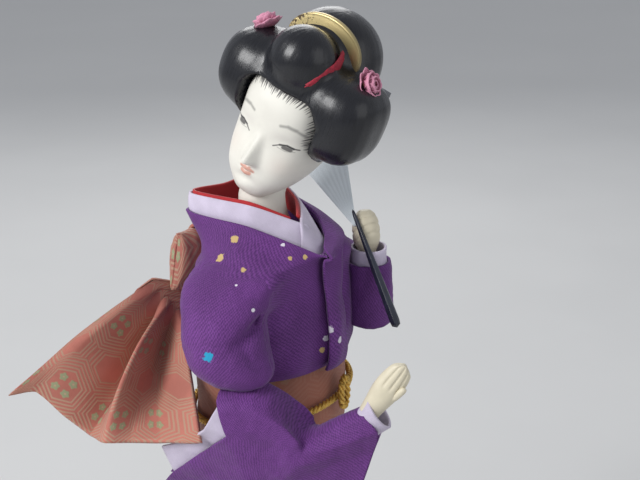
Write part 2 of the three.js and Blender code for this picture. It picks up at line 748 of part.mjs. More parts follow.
// Rows of the bodice's outside, from its hem over the sash up to the neckline.
function bodiceRows(grow) {
  const rows = [
    [-bodiceLap - grow, hemOuterWidth, hemOuterDepth, 0], [3, hemOuterWidth + 1, hemOuterDepth + 0.8, 0],
    [0.3 * chestHeight, 34.5, 26.5, -0.3], [0.56 * chestHeight, 33.5, 25, -0.2],
    [0.735 * chestHeight, 31, 24.3, 0], [0.885 * chestHeight, 25.5, 24.8, 0],
  ].map(([z, halfWidth, halfDepth, y]) => bodyLoop(halfWidth + grow, halfDepth + grow, y, z));
  const neckline = neckLoop(necklineHalf).map((point) => {
    const flat = V(point.x, point.y, 0).normalize();
    return point.clone().addScaledVector(flat, grow).add(V(0, 0, grow));
  });
  return [...rows, neckline];
}

function armhole(arm) {
  const [inner, outer] = toVectors(arm.slice(0, 2));
  return pin(inner, outer.clone().lerp(inner, -1), 2 * wireRadius);
}

function bodice() {
  return cut(cloth(bodiceRows(0), kimonoWall, true), armhole(rightArm), armhole(leftArm));
}

// The whole space that the bodice takes, for cutting what meets it.
function bodiceSpace(grow) {
  return loft(bodiceRows(grow));
}

// A crossed collar strip, from its left front end round the neck to its right front end.
function collarRows() {
  const lapOut = 2 * collarWall + 3 * clearance;
  const inset = kimonoWall + 2 * clearance + lapOut;
  const lower = necklineHalf.map(([x, y, z]) => {
    const out = V(x, y, 0).normalize().multiplyScalar(inset);
    return V(x - out.x, y - out.y, z - collarTuck);
  });
  const edge = (half) => {
    const drop = (half[1].z - half[0].z) / half[1].x;
    const leftEnd = V(-crossLap, half[0].y - lapOut, half[0].z - drop * crossLap);
    const rightEnd = V(crossLap, half[0].y, half[0].z - drop * crossLap);
    const left = [leftEnd, half[0].clone().add(V(0, -lapOut, 0)), half[1], half[2], half[3]];
    const right = [half[2], half[1], half[0].clone()].map(mirrored);
    const curve = new THREE.CatmullRomCurve3([...left, ...right, rightEnd], false, "centripetal");
    return curve.getPoints(28);
  };
  return [edge(lower), edge(toVectors(collarTopHalf))];
}

function whiteCollar() {
  return cut(cloth(collarRows(), collarWall), bodiceWallSpace(), bodice(), torsoSpace(), neckRoom());
}

function redCollar() {
  const rows = offsetRows(collarRows(), -collarWall - clearance, false).map((row) => row.slice(5, -5));
  rows.at(-1).forEach((point) => point.add(V(0, 0, redRise)));
  const room = [bodiceWallSpace(), bodice(), torsoSpace(), neckRoom(), whiteCollar()];
  return cut(cloth(rows, collarWall), ...room);
}

function bodiceWallSpace() {
  return cloth(bodiceRows(clearance), kimonoWall + 2 * clearance, true);
}

function torsoSpace() {
  return loft(torsoStations(clearance)).translate(0, 0, -obiHeight);
}

// The left front's edge band, up from the hem to the crossing and round behind the neck.
function lapel() {
  const outer = offsetRows(bodiceRows(0), 2 * clearance + kimonoWall, true);
  const place = (row, column) => {
    const low = Math.floor(column);
    return row[low].clone().lerp(row[low + 1], column - low);
  };
  const inner = [];
  const middle = [];
  const edge = [];
  const neckline = outer.at(-1);
  const shoulder = outer.at(-2);
  for (const [i, row] of outer.slice(0, -1).entries()) {
    const lean = lapelLean * (1 - i / (outer.length - 1));
    inner.push(place(row, lean));
    middle.push(place(row, lean + lapelSpan / 2));
    edge.push(place(row, lean + lapelSpan));
  }
  for (let k = 1; k <= lapelColumns; k += 1) {
    const slope = shoulder[k].clone().sub(neckline[k]).normalize();
    inner.push(neckline[k]);
    middle.push(neckline[k].clone().addScaledVector(slope, lapelWidth / 2));
    edge.push(neckline[k].clone().addScaledVector(slope, lapelWidth));
  }
  return cut(cloth([edge, middle, inner], kimonoWall), bodiceSpace(clearance));
}

// Sleeves.

// A soft tube through level rings, listed from its top; more lengthens it upwards.
function tube(rows, grow, more = 0) {
  const rings = rows.map(([z, x, y, radius], k) => {
    const lift = k === 0 ? grow + more : k === rows.length - 1 ? -grow : 0;
    return ellipse(radius + grow, radius + grow, x, y, z + lift, 14);
  });
  return loft(rings);
}

// Outline of the hanging bag across the forearm: shares of its drop with shares of its width.
const bagOutline = [[0, 0], [0.04, 0.5], [0.13, 0.86], [0.28, 1], [0.5, 0.72], [0.8, 0.45], [1, 0.25]];

// The bag as rings along the forearm, from its open rear edge to the cuff.
function bag(spec, grow, rearMore, frontMore) {
  const rear = V(spec.rear[0], spec.rear[1], 0);
  const front = V(spec.front[0], spec.front[1], 0);
  const length = rear.distanceTo(front);
  const forward = front.clone().sub(rear).normalize();
  const side = V(forward.y, -forward.x, 0);
  const tops = [[spec.topRear], [mix(spec.topRear, spec.topMiddle, 0.25)], [spec.topMiddle],
    [mix(spec.topMiddle, spec.topFront, 0.55)], [spec.topFront]];
  const steps = 7;
  const shares = Array.from({ length: steps + 1 }, (_, i) => i / steps);
  const before = rearMore > 0 ? [-rearMore / length] : [];
  const after = frontMore > 0 ? [1 + frontMore / length] : [];
  const rings = [...before, ...shares, ...after].map((share) => {
    const settled = THREE.MathUtils.clamp(share, 0, 1);
    const top = between(tops, settled)[0] + grow;
    const drop = top - spec.bottom + grow;
    const wave = 1.5 * Math.sin(2.2 * Math.PI * settled);
    const point = (down, wide, sign) => {
      const depth = down * drop;
      const z = top - depth;
      const half = wide * mix(spec.halfRear, spec.halfFront, settled) + (wide > 0 ? grow : 0);
      const sweep = -spec.rearSweep * (1 - settled) * THREE.MathUtils.smoothstep(depth, 0, 45);
      const rise = Math.max(z - spec.topFront + spec.cuffDepth / 2, -spec.cuffDepth / 2);
      const lean = -spec.cuffLean * settled ** 2 * rise;
      const out = sign * half + wave * THREE.MathUtils.smoothstep(depth, 10, 40);
      const place = rear.clone().addScaledVector(forward, share * length + sweep + lean);
      return place.addScaledVector(side, out).setZ(z);
    };
    const down = bagOutline.map(([depth, wide]) => point(depth, wide, 1));
    const up = bagOutline.slice(1).reverse().map(([depth, wide]) => point(depth, wide, -1));
    return [...down, ...up];
  });
  return loft(rings);
}

function rightSleeveSpace(grow, ends) {
  return join(tube(rightPuff, grow), bag(rightBag, grow, ends, ends));
}

function leftSleeveSpace(grow, ends) {
  const upper = join(tube(leftPuff, grow), tube(leftForearm, grow, ends));
  return join(upper, bag(leftBag, grow, ends, 0));
}

function sleeve(space) {
  return cut(space(0, 0), space(-kimonoWall, 4), bodiceSpace(clearance));
}

function rightUnderSleeve() {
  const outset = -kimonoWall - clearance;
  const outer = bag(rightBag, outset, furiShow, cuffShow);
  const inner = bag(rightBag, outset - underWall, furiShow + 4, cuffShow + 4);
  const room = [tube(rightPuff, clearance), bodiceSpace(clearance), armWire(rightArm, clearance), wristSpace()];
  return cut(outer, inner, ...room, sleeve(rightSleeveSpace));
}

function leftUnderSleeve() {
  const outset = -kimonoWall - clearance;
  const rows = leftForearm.slice(0, 2);
  const outer = tube(rows, outset, leftCuffShow);
  const inner = tube([rows[0], [rows[1][0] - 4, ...rows[1].slice(1)]], outset - underWall, leftCuffShow + 4);
  return cut(outer, inner, bodiceSpace(clearance), sleeve(leftSleeveSpace));
}

// Arms, hands and fan.

function armCurve(arm) {
  return new THREE.CatmullRomCurve3(toVectors(arm), false, "centripetal");
}

function armWire(arm, grow) {
  return rod(armCurve(arm), wireRadius + grow, 6, 20);
}

function socketTool(arm) {
  const [before, end] = toVectors(arm.slice(-2));
  const aim = end.clone().sub(before).normalize();
  return pin(end.clone().addScaledVector(aim, -handSocket - 4), end.clone().addScaledVector(aim, clearance),
    wireRadius + clearance, 10);
}

// Room for the right wrist to turn in the cuff.
function wristSpace() {
  const end = V(...rightArm.at(-1));
  const aim = V(...rightHandAim).normalize();
  const from = end.clone().addScaledVector(aim, -handSocket - 2 * clearance);
  return pin(from, end.clone().addScaledVector(aim, handSocket), 0.75 * handHalfWidth + 2 * clearance, 14);
}

function rightHand() {
  const end = V(...rightArm.at(-1));
  const aim = V(...rightHandAim).normalize();
  const across = V(0.62, -0.78, 0).cross(aim).cross(aim).normalize();
  const through = aim.clone().cross(across).normalize();
  const rows = [[0, 0.66, 0.8], [0.18, 0.72, 0.9], [0.42, 1, 1], [0.66, 0.98, 0.82], [0.88, 0.86, 0.62],
    [0.97, 0.66, 0.46], [1, 0.36, 0.26]];
  const start = end.clone().addScaledVector(aim, -handSocket);
  const rings = rows.map(([share, wide, deep]) => {
    const bow = V(0, 0, 0).addScaledVector(through, 1.6 * share * share);
    const centre = start.clone().addScaledVector(aim, share * (rightHandReach + handSocket)).add(bow);
    return crossRing(centre, across, through, handHalfWidth * wide, handHalfDepth * deep);
  });
  return cut(loft(rings), socketTool(rightArm));
}

function fist(grow) {
  const end = V(...leftArm.at(-1));
  const place = V(...leftHandPlace);
  const aim = place.clone().sub(end).normalize();
  const grip = V(...fanHandleTop).sub(V(...fanHandleFoot)).normalize();
  const across = grip.clone().cross(aim).normalize();
  const palm = [[0, 0.6, 0.6], [0.12, 0.66, 0.66], [0.35, 1, 0.95], [0.65, 1, 1], [0.88, 0.78, 0.8], [1, 0.36, 0.4]];
  const rings = palm.map(([share, wide, deep]) => {
    const centre = end.clone().addScaledVector(aim, mix(-handSocket, fistHeight, share));
    const sizes = [fistHalfWidth * wide + grow, fistHalfDepth * deep + grow];
    return crossRing(centre, across, across.clone().cross(aim), ...sizes);
  });
  return loft(rings);
}

function leftHand() {
  return cut(fist(0), socketTool(leftArm), fanHandle(clearance));
}

function fanHandle(grow) {
  const [foot, top] = [V(...fanHandleFoot), V(...fanHandleTop)];
  const aim = top.clone().sub(foot).normalize();
  const across = V(1, 0, 0).cross(aim).normalize();
  const through = aim.clone().cross(across);
  const rows = [[0, 0.5], [0.02, 0.85], [0.06, 1], [0.5, 0.86], [0.95, 0.5], [1, 0.3]];
  const rings = rows.map(([share, size], k) => {
    const radius = mix(fanHandleThick, fanHandleThin, share) * (size / mix(1, 0.6, share)) + grow;
    const more = k === 0 ? -grow : k === rows.length - 1 ? grow : 0;
    const centre = foot.clone().lerp(top, share).addScaledVector(aim, more);
    return crossRing(centre, across, through, radius, radius * 0.8, 12);
  });
  return loft(rings);
}

function fanLeaf() {
  const [apex, near, far] = [V(...fanApex), V(...fanCornerNear), V(...fanCornerFar)];
  const normal = near.clone().sub(apex).cross(far.clone().sub(apex)).normalize();
  const spread = near.clone().sub(apex).angleTo(far.clone().sub(apex));
  const rows = [];
  for (const out of [0.05, 0.4, 0.7, 1]) {
    const row = [];
    for (let k = 0; k <= 2 * fanPleats; k += 1) {
      const share = k / (2 * fanPleats);
      const aim = near.clone().sub(apex).applyAxisAngle(normal, spread * share);
      const reach = mix(1, far.distanceTo(apex) / near.distanceTo(apex), share) * out;
      const fold = (k % 2 === 0 ? -0.5 : 0.5) * pleatDepth * out;
      row.push(apex.clone().addScaledVector(aim, reach).addScaledVector(normal, fold));
    }
    rows.push(row);
  }
  return cut(cloth(rows, fanWall), fanHandle(clearance), fist(clearance));
}

// Skirts and sash.

// A slab that trims a hem level above the plinth.
function belowHem() {
  return new THREE.BoxGeometry(4 * hemHalfWidth, 4 * hemHalfDepth, 20).translate(0, 0, clearance - 10);
}

function skirtRow(k, grow) {
  const share = k / (skirtRows.length - 1);
  return [skirtRows[k][0] + grow, skirtRows[k][1] + grow, legHeight * share];
}

// The wrapped skirt: one cloth that goes round once and laps over itself at the front.
function skirt() {
  const lap = 0.8;
  const start = -Math.PI / 2 - 0.35;
  const steps = 29;
  const rows = skirtRows.map((_, k) => {
    const [halfWidth, halfDepth, z] = skirtRow(k, kimonoWall);
    const flare = (1 - k / (skirtRows.length - 1)) ** 2;
    return Array.from({ length: steps + 1 }, (_, j) => {
      const turn = (j / steps) * (2 * Math.PI + lap);
      const angle = start + turn;
      const over = (kimonoWall + clearance) * THREE.MathUtils.smoothstep(turn, 2 * Math.PI - 1.2, 2 * Math.PI - 0.1);
      const fold = skirtFold * flare * Math.sin(9 * angle);
      return V((halfWidth + over + fold) * Math.cos(angle), (halfDepth + over + fold) * Math.sin(angle),
        z);
    });
  });
  const tuckTop = rows.at(-1).map((point) => point.clone().add(V(0, 0, skirtTuck)));
  return cut(cloth([...rows, tuckTop], kimonoWall), belowHem());
}

function underskirt() {
  const rows = skirtRows.slice(0, 4).map((_, k) => {
    const [halfWidth, halfDepth, z] = skirtRow(k, -underGap);
    const flare = (1 - k / (skirtRows.length - 1)) ** 2;
    return Array.from({ length: 27 }, (_, j) => {
      const angle = (2 * Math.PI * j) / 27;
      const fold = skirtFold * flare * Math.sin(9 * angle);
      return V((halfWidth + fold) * Math.cos(angle), (halfDepth + fold) * Math.sin(angle), z);
    });
  });
  return cut(cloth(rows, underWall, true), belowHem(), foot(-1, clearance), foot(1, clearance));
}

function obiBand() {
  const rows = [0, 0.33, 0.67, 1].map((share) => {
    const swell = obiSwell * Math.sin(Math.PI * share);
    return ellipse(obiOuterWidth + swell, obiOuterDepth + swell, 0, 0, obiHeight * share, 28);
  });
  return cloth(rows, brocadeWall, true);
}

function cordLoop() {
  const out = cordRadius + clearance + obiSwell;
  const points = ellipse(obiOuterWidth + out, obiOuterDepth + out, 0, 0, cordHeight, 24);
  points.forEach((point) => point.setZ(cordHeight + (cordTilt * (point.x - point.y)) / obiOuterWidth));
  return loopTube(new THREE.CatmullRomCurve3(points, true), cordRadius, 6, 36);
}

function cordKnot() {
  const out = 3 * cordRadius + 2 * clearance + obiSwell;
  const y = -(obiOuterDepth + out) * Math.sqrt(1 - (cordKnotX / (obiOuterWidth + out)) ** 2);
  const points = Array.from({ length: 16 }, (_, k) => {
    const angle = (2 * Math.PI * k) / 16;
    return V(cordKnotX + cordKnotHalfWidth * Math.cos(angle), y + 0.6 * Math.cos(angle),
      cordHeight + 4 + cordKnotHalfHeight * Math.sin(angle));
  });
  return loopTube(new THREE.CatmullRomCurve3(points, true), cordRadius, 6, 18);
}

// A wing of the bow: fold lines that fan out from the gathered end beside the strap.
function wing(lines, side) {
  const [strapEdge, gather] = [bowStrapEdge, bowGather].map((pair) => {
    return toVectors(pair).map((point) => V(side * point.x, point.y, point.z));
  });
  const table = lines.map(([end, shift]) => [...end, ...shift]);
  const [steps, columns] = [6, 14];
  const rows = Array.from({ length: steps + 1 }, (_, i) => {
    const share = i / steps;
    return Array.from({ length: columns + 1 }, (_, k) => {
      const [x, y, z, ...shift] = between(table, k / columns);
      const point = gather[0].clone().lerp(gather[1], k / columns).lerp(V(x, y, z), share);
      return point.addScaledVector(V(...shift), Math.sin(0.9 * Math.PI * share));
    });
  });
  const first = rows[0].map((_, k) => strapEdge[0].clone().lerp(strapEdge[1], k / columns));
  return cut(cloth([first, ...rows], brocadeWall), bodiceSpace(clearance), upperLoop(clearance), strapSpace());
}

// The upright loop over the knot, wider at its foot.
function upperLoop(grow) {
  const y = hemOuterDepth - clearance + brocadeWall + loopDepth / 2;
  const rows = [[-1, 0.72], [-0.8, 0.95], [-0.4, 1], [0, 1.02], [0.4, 1], [0.8, 0.95], [1, 0.72]];
  const rings = rows.map(([across, size]) => Array.from({ length: 18 }, (_, k) => {
    const angle = (2 * Math.PI * k) / 18;
    const up = (1 + Math.sin(angle)) / 2;
    const x = across * (mix(loopHalfWidthFoot, loopHalfWidthTop, up) + grow);
    const z = loopBase + loopHeight / 2 + ((loopHeight / 2) * size + grow) * Math.sin(angle);
    return V(x, y + ((loopDepth / 2) * size + grow) * Math.cos(angle), z);
  }));
  return loft(rings);
}

function strapRows(grow) {
  const y = hemOuterDepth - clearance + brocadeWall + loopDepth / 2;
  return [-strapHalfWidth - grow, 0, strapHalfWidth + grow].map((x) => Array.from({ length: 18 }, (_, k) => {
    const angle = (2 * Math.PI * k) / 18;
    const out = brocadeWall + 2 * clearance + grow;
    const z = loopBase - strapDrop / 2 + (loopHeight / 2 + out + strapDrop / 2) * Math.sin(angle) + loopHeight / 2;
    return V(x, y + (loopDepth / 2 + out) * Math.cos(angle), z);
  }));
}

function strapSpace() {
  return loft(strapRows(clearance));
}

// The strap that ties loop and wings together at the middle of the back.
function bowStrap() {
  return cut(cloth(strapRows(0), brocadeWall, true), bodiceSpace(clearance), upperLoop(clearance));
}

// The assembly.

function add(group, name, geometry, material) {
  const mesh = new THREE.Mesh(geometry, material);
  mesh.name = name;
  group.add(mesh);
  return mesh;
}

const doll = new THREE.Group();
add(doll, "base_plinth", plinth(), materials.lacquer);
add(doll, "base_screw", baseScrew(), materials.steel);

const figure = new THREE.Group();
figure.position.z = plinthHeight;
doll.add(figure);
add(figure, "support_post", supportPost(), materials.wood);
add(figure, "skirt_former", skirtFormer(), materials.straw);
add(figure, "foot_right", foot(-1, 0), materials.white);
add(figure, "foot_left", foot(1, 0), materials.white);
add(figure, "underskirt", underskirt(), materials.red);
add(figure, "kimono_skirt", skirt(), materials.purple);

const waist = new THREE.Group();
waist.position.z = legHeight;
figure.add(waist);
add(waist, "torso_form", torsoForm(), materials.straw);
add(waist, "obi_band", obiBand(), materials.brocade);
add(waist, "obi_cord", cordLoop(), materials.gold);
add(waist, "obi_cord_knot", cordKnot(), materials.gold);

const chest = new THREE.Group();
chest.position.z = obiHeight;
waist.add(chest);
add(chest, "kimono_bodice", bodice(), materials.purple);
add(chest, "kimono_lapel", lapel(), materials.purple);
add(chest, "collar_white", whiteCollar(), materials.white);
add(chest, "collar_red", redCollar(), materials.red);
add(chest, "arm_wire_right", armWire(rightArm, 0), materials.straw);
add(chest, "arm_wire_left", armWire(leftArm, 0), materials.straw);
add(chest, "hand_right", rightHand(), materials.hand);
add(chest, "hand_left", leftHand(), materials.hand);
add(chest, "sleeve_right", sleeve(rightSleeveSpace), materials.purple);
add(chest, "sleeve_left", sleeve(leftSleeveSpace), materials.purple);
add(chest, "under_sleeve_right", rightUnderSleeve(), materials.white);
add(chest, "under_sleeve_left", leftUnderSleeve(), materials.white);
add(chest, "fan_handle", fanHandle(0), materials.lacquer);
add(chest, "fan_leaf", fanLeaf(), materials.paper);
add(chest, "bow_upper_loop", upperLoop(0), materials.brocade);
add(chest, "bow_strap", bowStrap(), materials.brocade);
add(chest, "bow_wing_right", wing(rightWing, 1), materials.brocade);
add(chest, "bow_wing_left", wing(leftWing, -1), materials.brocade);
add(chest, "neck_peg", neckPeg(), materials.wood);

const headGroup = new THREE.Group();
headGroup.position.copy(headPose.position);
headGroup.rotation.copy(headPose.rotation);
chest.add(headGroup);
add(headGroup, "head", head(), materials.porcelain);
for (const [name, geometry] of hairPieces()) {
  add(headGroup, name, geometry, materials.hair);
}
add(headGroup, "hair_ribbon", ribbon(0), materials.red);
add(headGroup, "comb", comb(), materials.gold);
add(headGroup, "flower_pin_right", flowerPin(-1, 0), materials.pink);
add(headGroup, "flower_pin_left", flowerPin(1, 0), materials.pink);
add(headGroup, "hair_bar", hairBar(0), materials.lacquer);

export default doll;
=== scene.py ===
import math

import bmesh
import bpy
from mathutils import Matrix, Vector, noise


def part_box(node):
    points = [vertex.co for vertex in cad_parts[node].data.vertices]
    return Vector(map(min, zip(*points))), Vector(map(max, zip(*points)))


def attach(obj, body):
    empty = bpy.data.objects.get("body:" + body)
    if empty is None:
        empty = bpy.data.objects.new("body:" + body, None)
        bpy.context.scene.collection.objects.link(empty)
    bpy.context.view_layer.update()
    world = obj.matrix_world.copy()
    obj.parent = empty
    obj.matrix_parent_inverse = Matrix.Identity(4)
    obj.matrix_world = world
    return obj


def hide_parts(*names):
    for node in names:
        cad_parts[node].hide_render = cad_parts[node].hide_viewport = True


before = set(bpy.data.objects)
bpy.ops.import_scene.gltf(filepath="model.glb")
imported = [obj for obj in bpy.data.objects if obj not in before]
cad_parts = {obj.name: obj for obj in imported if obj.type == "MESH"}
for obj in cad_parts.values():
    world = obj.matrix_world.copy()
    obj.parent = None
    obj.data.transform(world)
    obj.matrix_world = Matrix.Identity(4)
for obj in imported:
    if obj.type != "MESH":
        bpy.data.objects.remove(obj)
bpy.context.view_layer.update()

bl_info = {
    "name": "Geisha doll",
    "version": (1, 0, 0),
    "blender": (4, 5, 0),
    "location": "View3D > Sidebar > Doll",
    "description": "Dresses the doll: painted face, moulded hair, crepe kimono, brocade sash and bow, hands and fan",
    "category": "Object",
}

# Shapes are in millimetres, and MM turns them into metres. UV maps count centimetres of cloth.
MM = 0.001
CM_PER_M = 100
TURN = 2 * math.pi
GAP = 0.3
PLINTH_TOP = 1000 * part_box("base_plinth")[1].z
SASH_FOOT, SASH_TOP = (1000 * corner.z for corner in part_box("obi_band"))
LEG_HEIGHT = SASH_FOOT - PLINTH_TOP

# The head's own frame: x to its left, y to its back, z up from the chin.
HEAD_FRAME = (
    Matrix.Translation((5.5, 5.4, SASH_TOP + 63.5))
    @ Matrix.Rotation(math.radians(-80), 4, "Z")
    @ Matrix.Rotation(math.radians(22.5), 4, "Y")
    @ Matrix.Rotation(math.radians(-2), 4, "X")
)

# The right forearm's frame: along it towards the cuff, outwards from the body, and up from the sash's upper edge.
FOREARM_PLACE = Vector((-43, -17, SASH_TOP))
FOREARM_ALONG = Vector((0.458, -0.889, 0))
FOREARM_OUT = Vector((-0.889, -0.458, 0))

# Plinth, stuffed body, skirts and sash. Rows of the body: height, half width, half depth, place of the middle.
PLINTH_CORNER, PLINTH_EDGE = 9, 2.5
TORSO_ROWS = [(SASH_FOOT, 27, 19, 0), (SASH_TOP, 27, 19, 0), (SASH_TOP + 20.7, 31.5, 23, 0),
              (SASH_TOP + 34, 28, 19, 0), (SASH_TOP + 41.4, 20.7, 16, 2), (SASH_TOP + 46, 13.5, 13.5, 3)]
FORMER_WIDTH = [(0.0, 1.0), (0.14, 0.82), (0.3, 0.72), (0.45, 0.66), (0.7, 0.64), (0.9, 0.62), (1.0, 0.52)]
SKIRT_ROWS = [(56, 51), (44, 39), (37.5, 32.5), (34.5, 29), (33.5, 27.5), (33.5, 27), (32.5, 26), (27.3, 19.3)]
SKIRT_START, SKIRT_LAP, SKIRT_WALL = -math.pi / 2 - 0.35, 0.8, 1.3
UNDERSKIRT_RISE, UNDERSKIRT_GAP, UNDERSKIRT_FOLD = 3 / 7, 2.2, 2.2
SASH_HALF_WIDTH, SASH_HALF_DEPTH, SASH_SWELL = 32, 24, 0.6
CORD_LEVEL, CORD_TILT = 21, 1.5
KNOT_X, KNOT_LEVEL, KNOT_HALF_WIDTH, KNOT_HALF_HEIGHT, KNOT_TURN = 10, 25, 2.3, 6, 0.6

# Heights in the tables of bow, bodice, collars, sleeves, hands and fan are above the sash's upper edge.
# Wings of the bow: the end of each fold line, and how far the line's middle is moved.
WING_RIGHT = [((-83, 54, -10), (0, 0, 2)), ((-73.5, 50.5, -11), (-2, -2, 4)), ((-70.5, 39, -17.5), (3, 1.5, -2)),
              ((-67, 29, -23), (7, 5, -6)), ((-66, 19, -23), (-7, -3, 5)), ((-62, 10, -21.5), (3, 7, -1)),
              ((-57, -2, -19.5), (6, 13, -4)), ((-53, -17, -13.8), (-2.5, -3, 0.5))]
WING_LEFT = [((78, 58, -8), (0, 0, 2)), ((71, 55, -11), (1, -1, 3)), ((67, 48, -18), (-4, 3, -4)),
             ((62, 43, -24), (1, 0, 2)), ((57, 41, -27), (4, -2, 4)), ((51, 40, -28), (-3, 4, -1)),
             ((44, 39, -29), (1, 4, -2)), ((37, 38, -30), (3, 4, 0))]
BOW_STRAP_EDGE = [(-8.8, 34, 17), (-8.8, 32.5, 6)]
BOW_GATHER = [(-25, 39, 23), (-15, 35, 8)]
BOW_GATHER_SHARE = 0.12
LOOP_HALF_DEPTH, LOOP_HALF_HEIGHT, LOOP_LEVEL = 5.5, 11.5, 30
LOOP_FOOT_HALF_WIDTH, LOOP_TOP_HALF_WIDTH = 21, 16.5
LOOP_Y = 26.2 - GAP + 1.5 + LOOP_HALF_DEPTH
LOOP_ENDS = [(-1, 0.06, 0.92), (-0.98, 0.45, 0.95), (-0.9, 0.8, 0.98), (-0.5, 1, 1), (0, 1.02, 1.02), (0.5, 1, 1),
             (0.9, 0.8, 0.98), (0.98, 0.45, 0.95), (1, 0.06, 0.92)]
STRAP_HALF_WIDTH, STRAP_ROOM, STRAP_DROP = 8, 2.1, 5

# Bodice rows: height, half width, half depth, place of the middle. Necklines and collars run from front to back.
BODICE_ROWS = [(-2, 34.2, 26.2, 0), (3, 35.2, 27, 0), (13.8, 34.5, 26.5, -0.3), (25.8, 33.5, 25, -0.2),
               (33.8, 31, 24.3, 0), (40.7, 25.5, 24.8, 0)]
BODY_COLUMNS = [[(row[0], row[k]) for row in [*BODICE_ROWS, (49, 18, 26, 1)]] for k in (1, 2, 3)]
LEFT_SHOULDER = Vector((0.93, -0.36, 0))
NECKLINE_LEFT = [(0, -28.5, 42), (17, -5.5, 48.8), (21.5, 22, 53), (0, 28, 52)]
NECKLINE_RIGHT = [(0, -28.5, 42), (-15.5, -5, 52.3), (-21.5, 22, 54), (0, 28, 52)]
COLLAR_LEFT = [(0, -21.5, 53), (12.8, -2, 56.5), (19.5, 22, 59.5), (0, 25.6, 58.5)]
COLLAR_RIGHT = [(0, -17.3, 52.5), (-12.8, -2, 59.2), (-19.5, 22, 60.5), (0, 25.6, 58.5)]
COLLAR_LAP_FOOT = [(1.5, -23.6, 40.5), (8.5, -20.5, 43.6)]
COLLAR_LAP_TOP = [(-3.6, -19, 44.6), (-2, -17.8, 52.6)]
# Edges of the lapel on the bodice: share of the way round, share of the rise.
LAPEL_INNER = [(-0.004, 0), (0.001, 0.3), (0.001, 0.6), (-0.002, 0.86), (0.004, 0.985), (0.06, 0.992), (0.14, 0.992),
               (0.25, 0.992)]
LAPEL_OUTER = [(0.052, 0), (0.051, 0.3), (0.048, 0.6), (0.047, 0.82), (0.07, 0.9), (0.11, 0.91), (0.17, 0.92),
               (0.25, 0.93)]

# Right sleeve, in the forearm's frame. Rings of its upper part: height, along, out, half along, half out.
RIGHT_UPPER = [(42.4, 1, -22, 6, 3.5), (40.8, 0.5, -19.6, 12.5, 6.6), (37.6, -0.4, -16, 15.2, 10.3),
               (33, -1.2, -12, 15.2, 13.3), (26, -1.2, -8.6, 14.8, 15), (18, 0.2, -6.2, 15.2, 15.6),
               (13, 2, -4.5, 15, 14.9), (9.2, 4.2, -3.4, 14, 13), (6.2, 5.8, -2.6, 10.5, 9.8),
               (4, 6.6, -2, 5.5, 5)]
RIGHT_COLUMNS = [[(row[0], row[k]) for row in reversed(RIGHT_UPPER)] for k in (1, 2, 3, 4)]
# The seam at the shoulder, and pressed-in folds: both ends, width and depth.
SHOULDER_SEAM = [(-30, 43), (-4, 42.2), (7.6, 41), (14, 39.6), (18, 37.6), (24, 35)]
UPPER_FOLDS = [((14.8, -5, 26.8), (8, 6.2, 22.3), 2.2, -3.6), ((11.5, 3.8, 20.5), (13.4, 1.5, 14), 3, -1.6),
               ((-9, 4, 17), (4, 9, 12), 2.6, -1.1)]
# The hanging bag: its ridge along the forearm, its width by depth, and its edges by height.
BAG_REAR, BAG_FRONT, BAG_FOOT = 1.5, 51.5, -43
RIGHT_RIDGE = [(-9, 4.6), (0, 5.4), (7, 5.8), (14, 5.2), (19, 3), (23.5, -1.2), (27.5, -7.2), (30, -9.6),
               (34, -8.6), (40, -4.6), (46, -0.4), (52, 3.6)]
BAG_WIDTH = [(0, 0), (0.015, 0.5), (0.05, 0.78), (0.1, 0.94), (0.25, 1), (0.5, 0.8), (0.8, 0.5), (1, 0.3)]
CUFF_WIDTH = [(0, 0), (0.02, 0.5), (0.06, 0.85), (0.12, 1), (0.2, 0.8), (0.35, 0.5), (1, 0.3)]
SLEEVE_REAR = [(-43, -26), (-38, -22.5), (-25.7, -11), (-9.5, 5.8), (-1, 3.3), (4, 2.3)]
LINING_REAR = [(-43, -20), (-38, -21), (-26, -25), (-22, -18), (-16, -10), (-9.5, -3.5), (-1, 1), (4, 3.5)]
CUFF_EDGE = [(-43, 47), (-26, 51.5), (-16, 54.3), (-9, 56.6), (-4, 57.4), (0, 55), (3.2, 50.8)]
BAG_CREASE = [(-43, 14.5), (-26, 10.5), (-9.5, 6.3)]

# Left sleeve. Rings: height, x, y, radius.
LEFT_PUFF = [(37, 27, 0, 5), (33, 30.5, -2, 10), (25, 35, -5, 13), (16, 34.5, -12, 12), (9, 33, -18, 10),
             (4.5, 32.5, -19.5, 6)]
LEFT_FOREARM = [(31, 31, -22, 8.6), (20, 31, -22.5, 9.2), (9.5, 31.5, -22, 9.6), (6.3, 31.6, -22, 9.2),
                (5.2, 32, -21.5, 7)]
LEFT_CUFF = [(36.5, 31, -22, 7), (31, 31, -22, 7), (20, 31, -22.5, 7.6)]
LEFT_BAG_REAR, LEFT_BAG_FRONT, LEFT_BAG_FOOT = Vector((45, 20, 0)), Vector((42, 4, 0)), -24

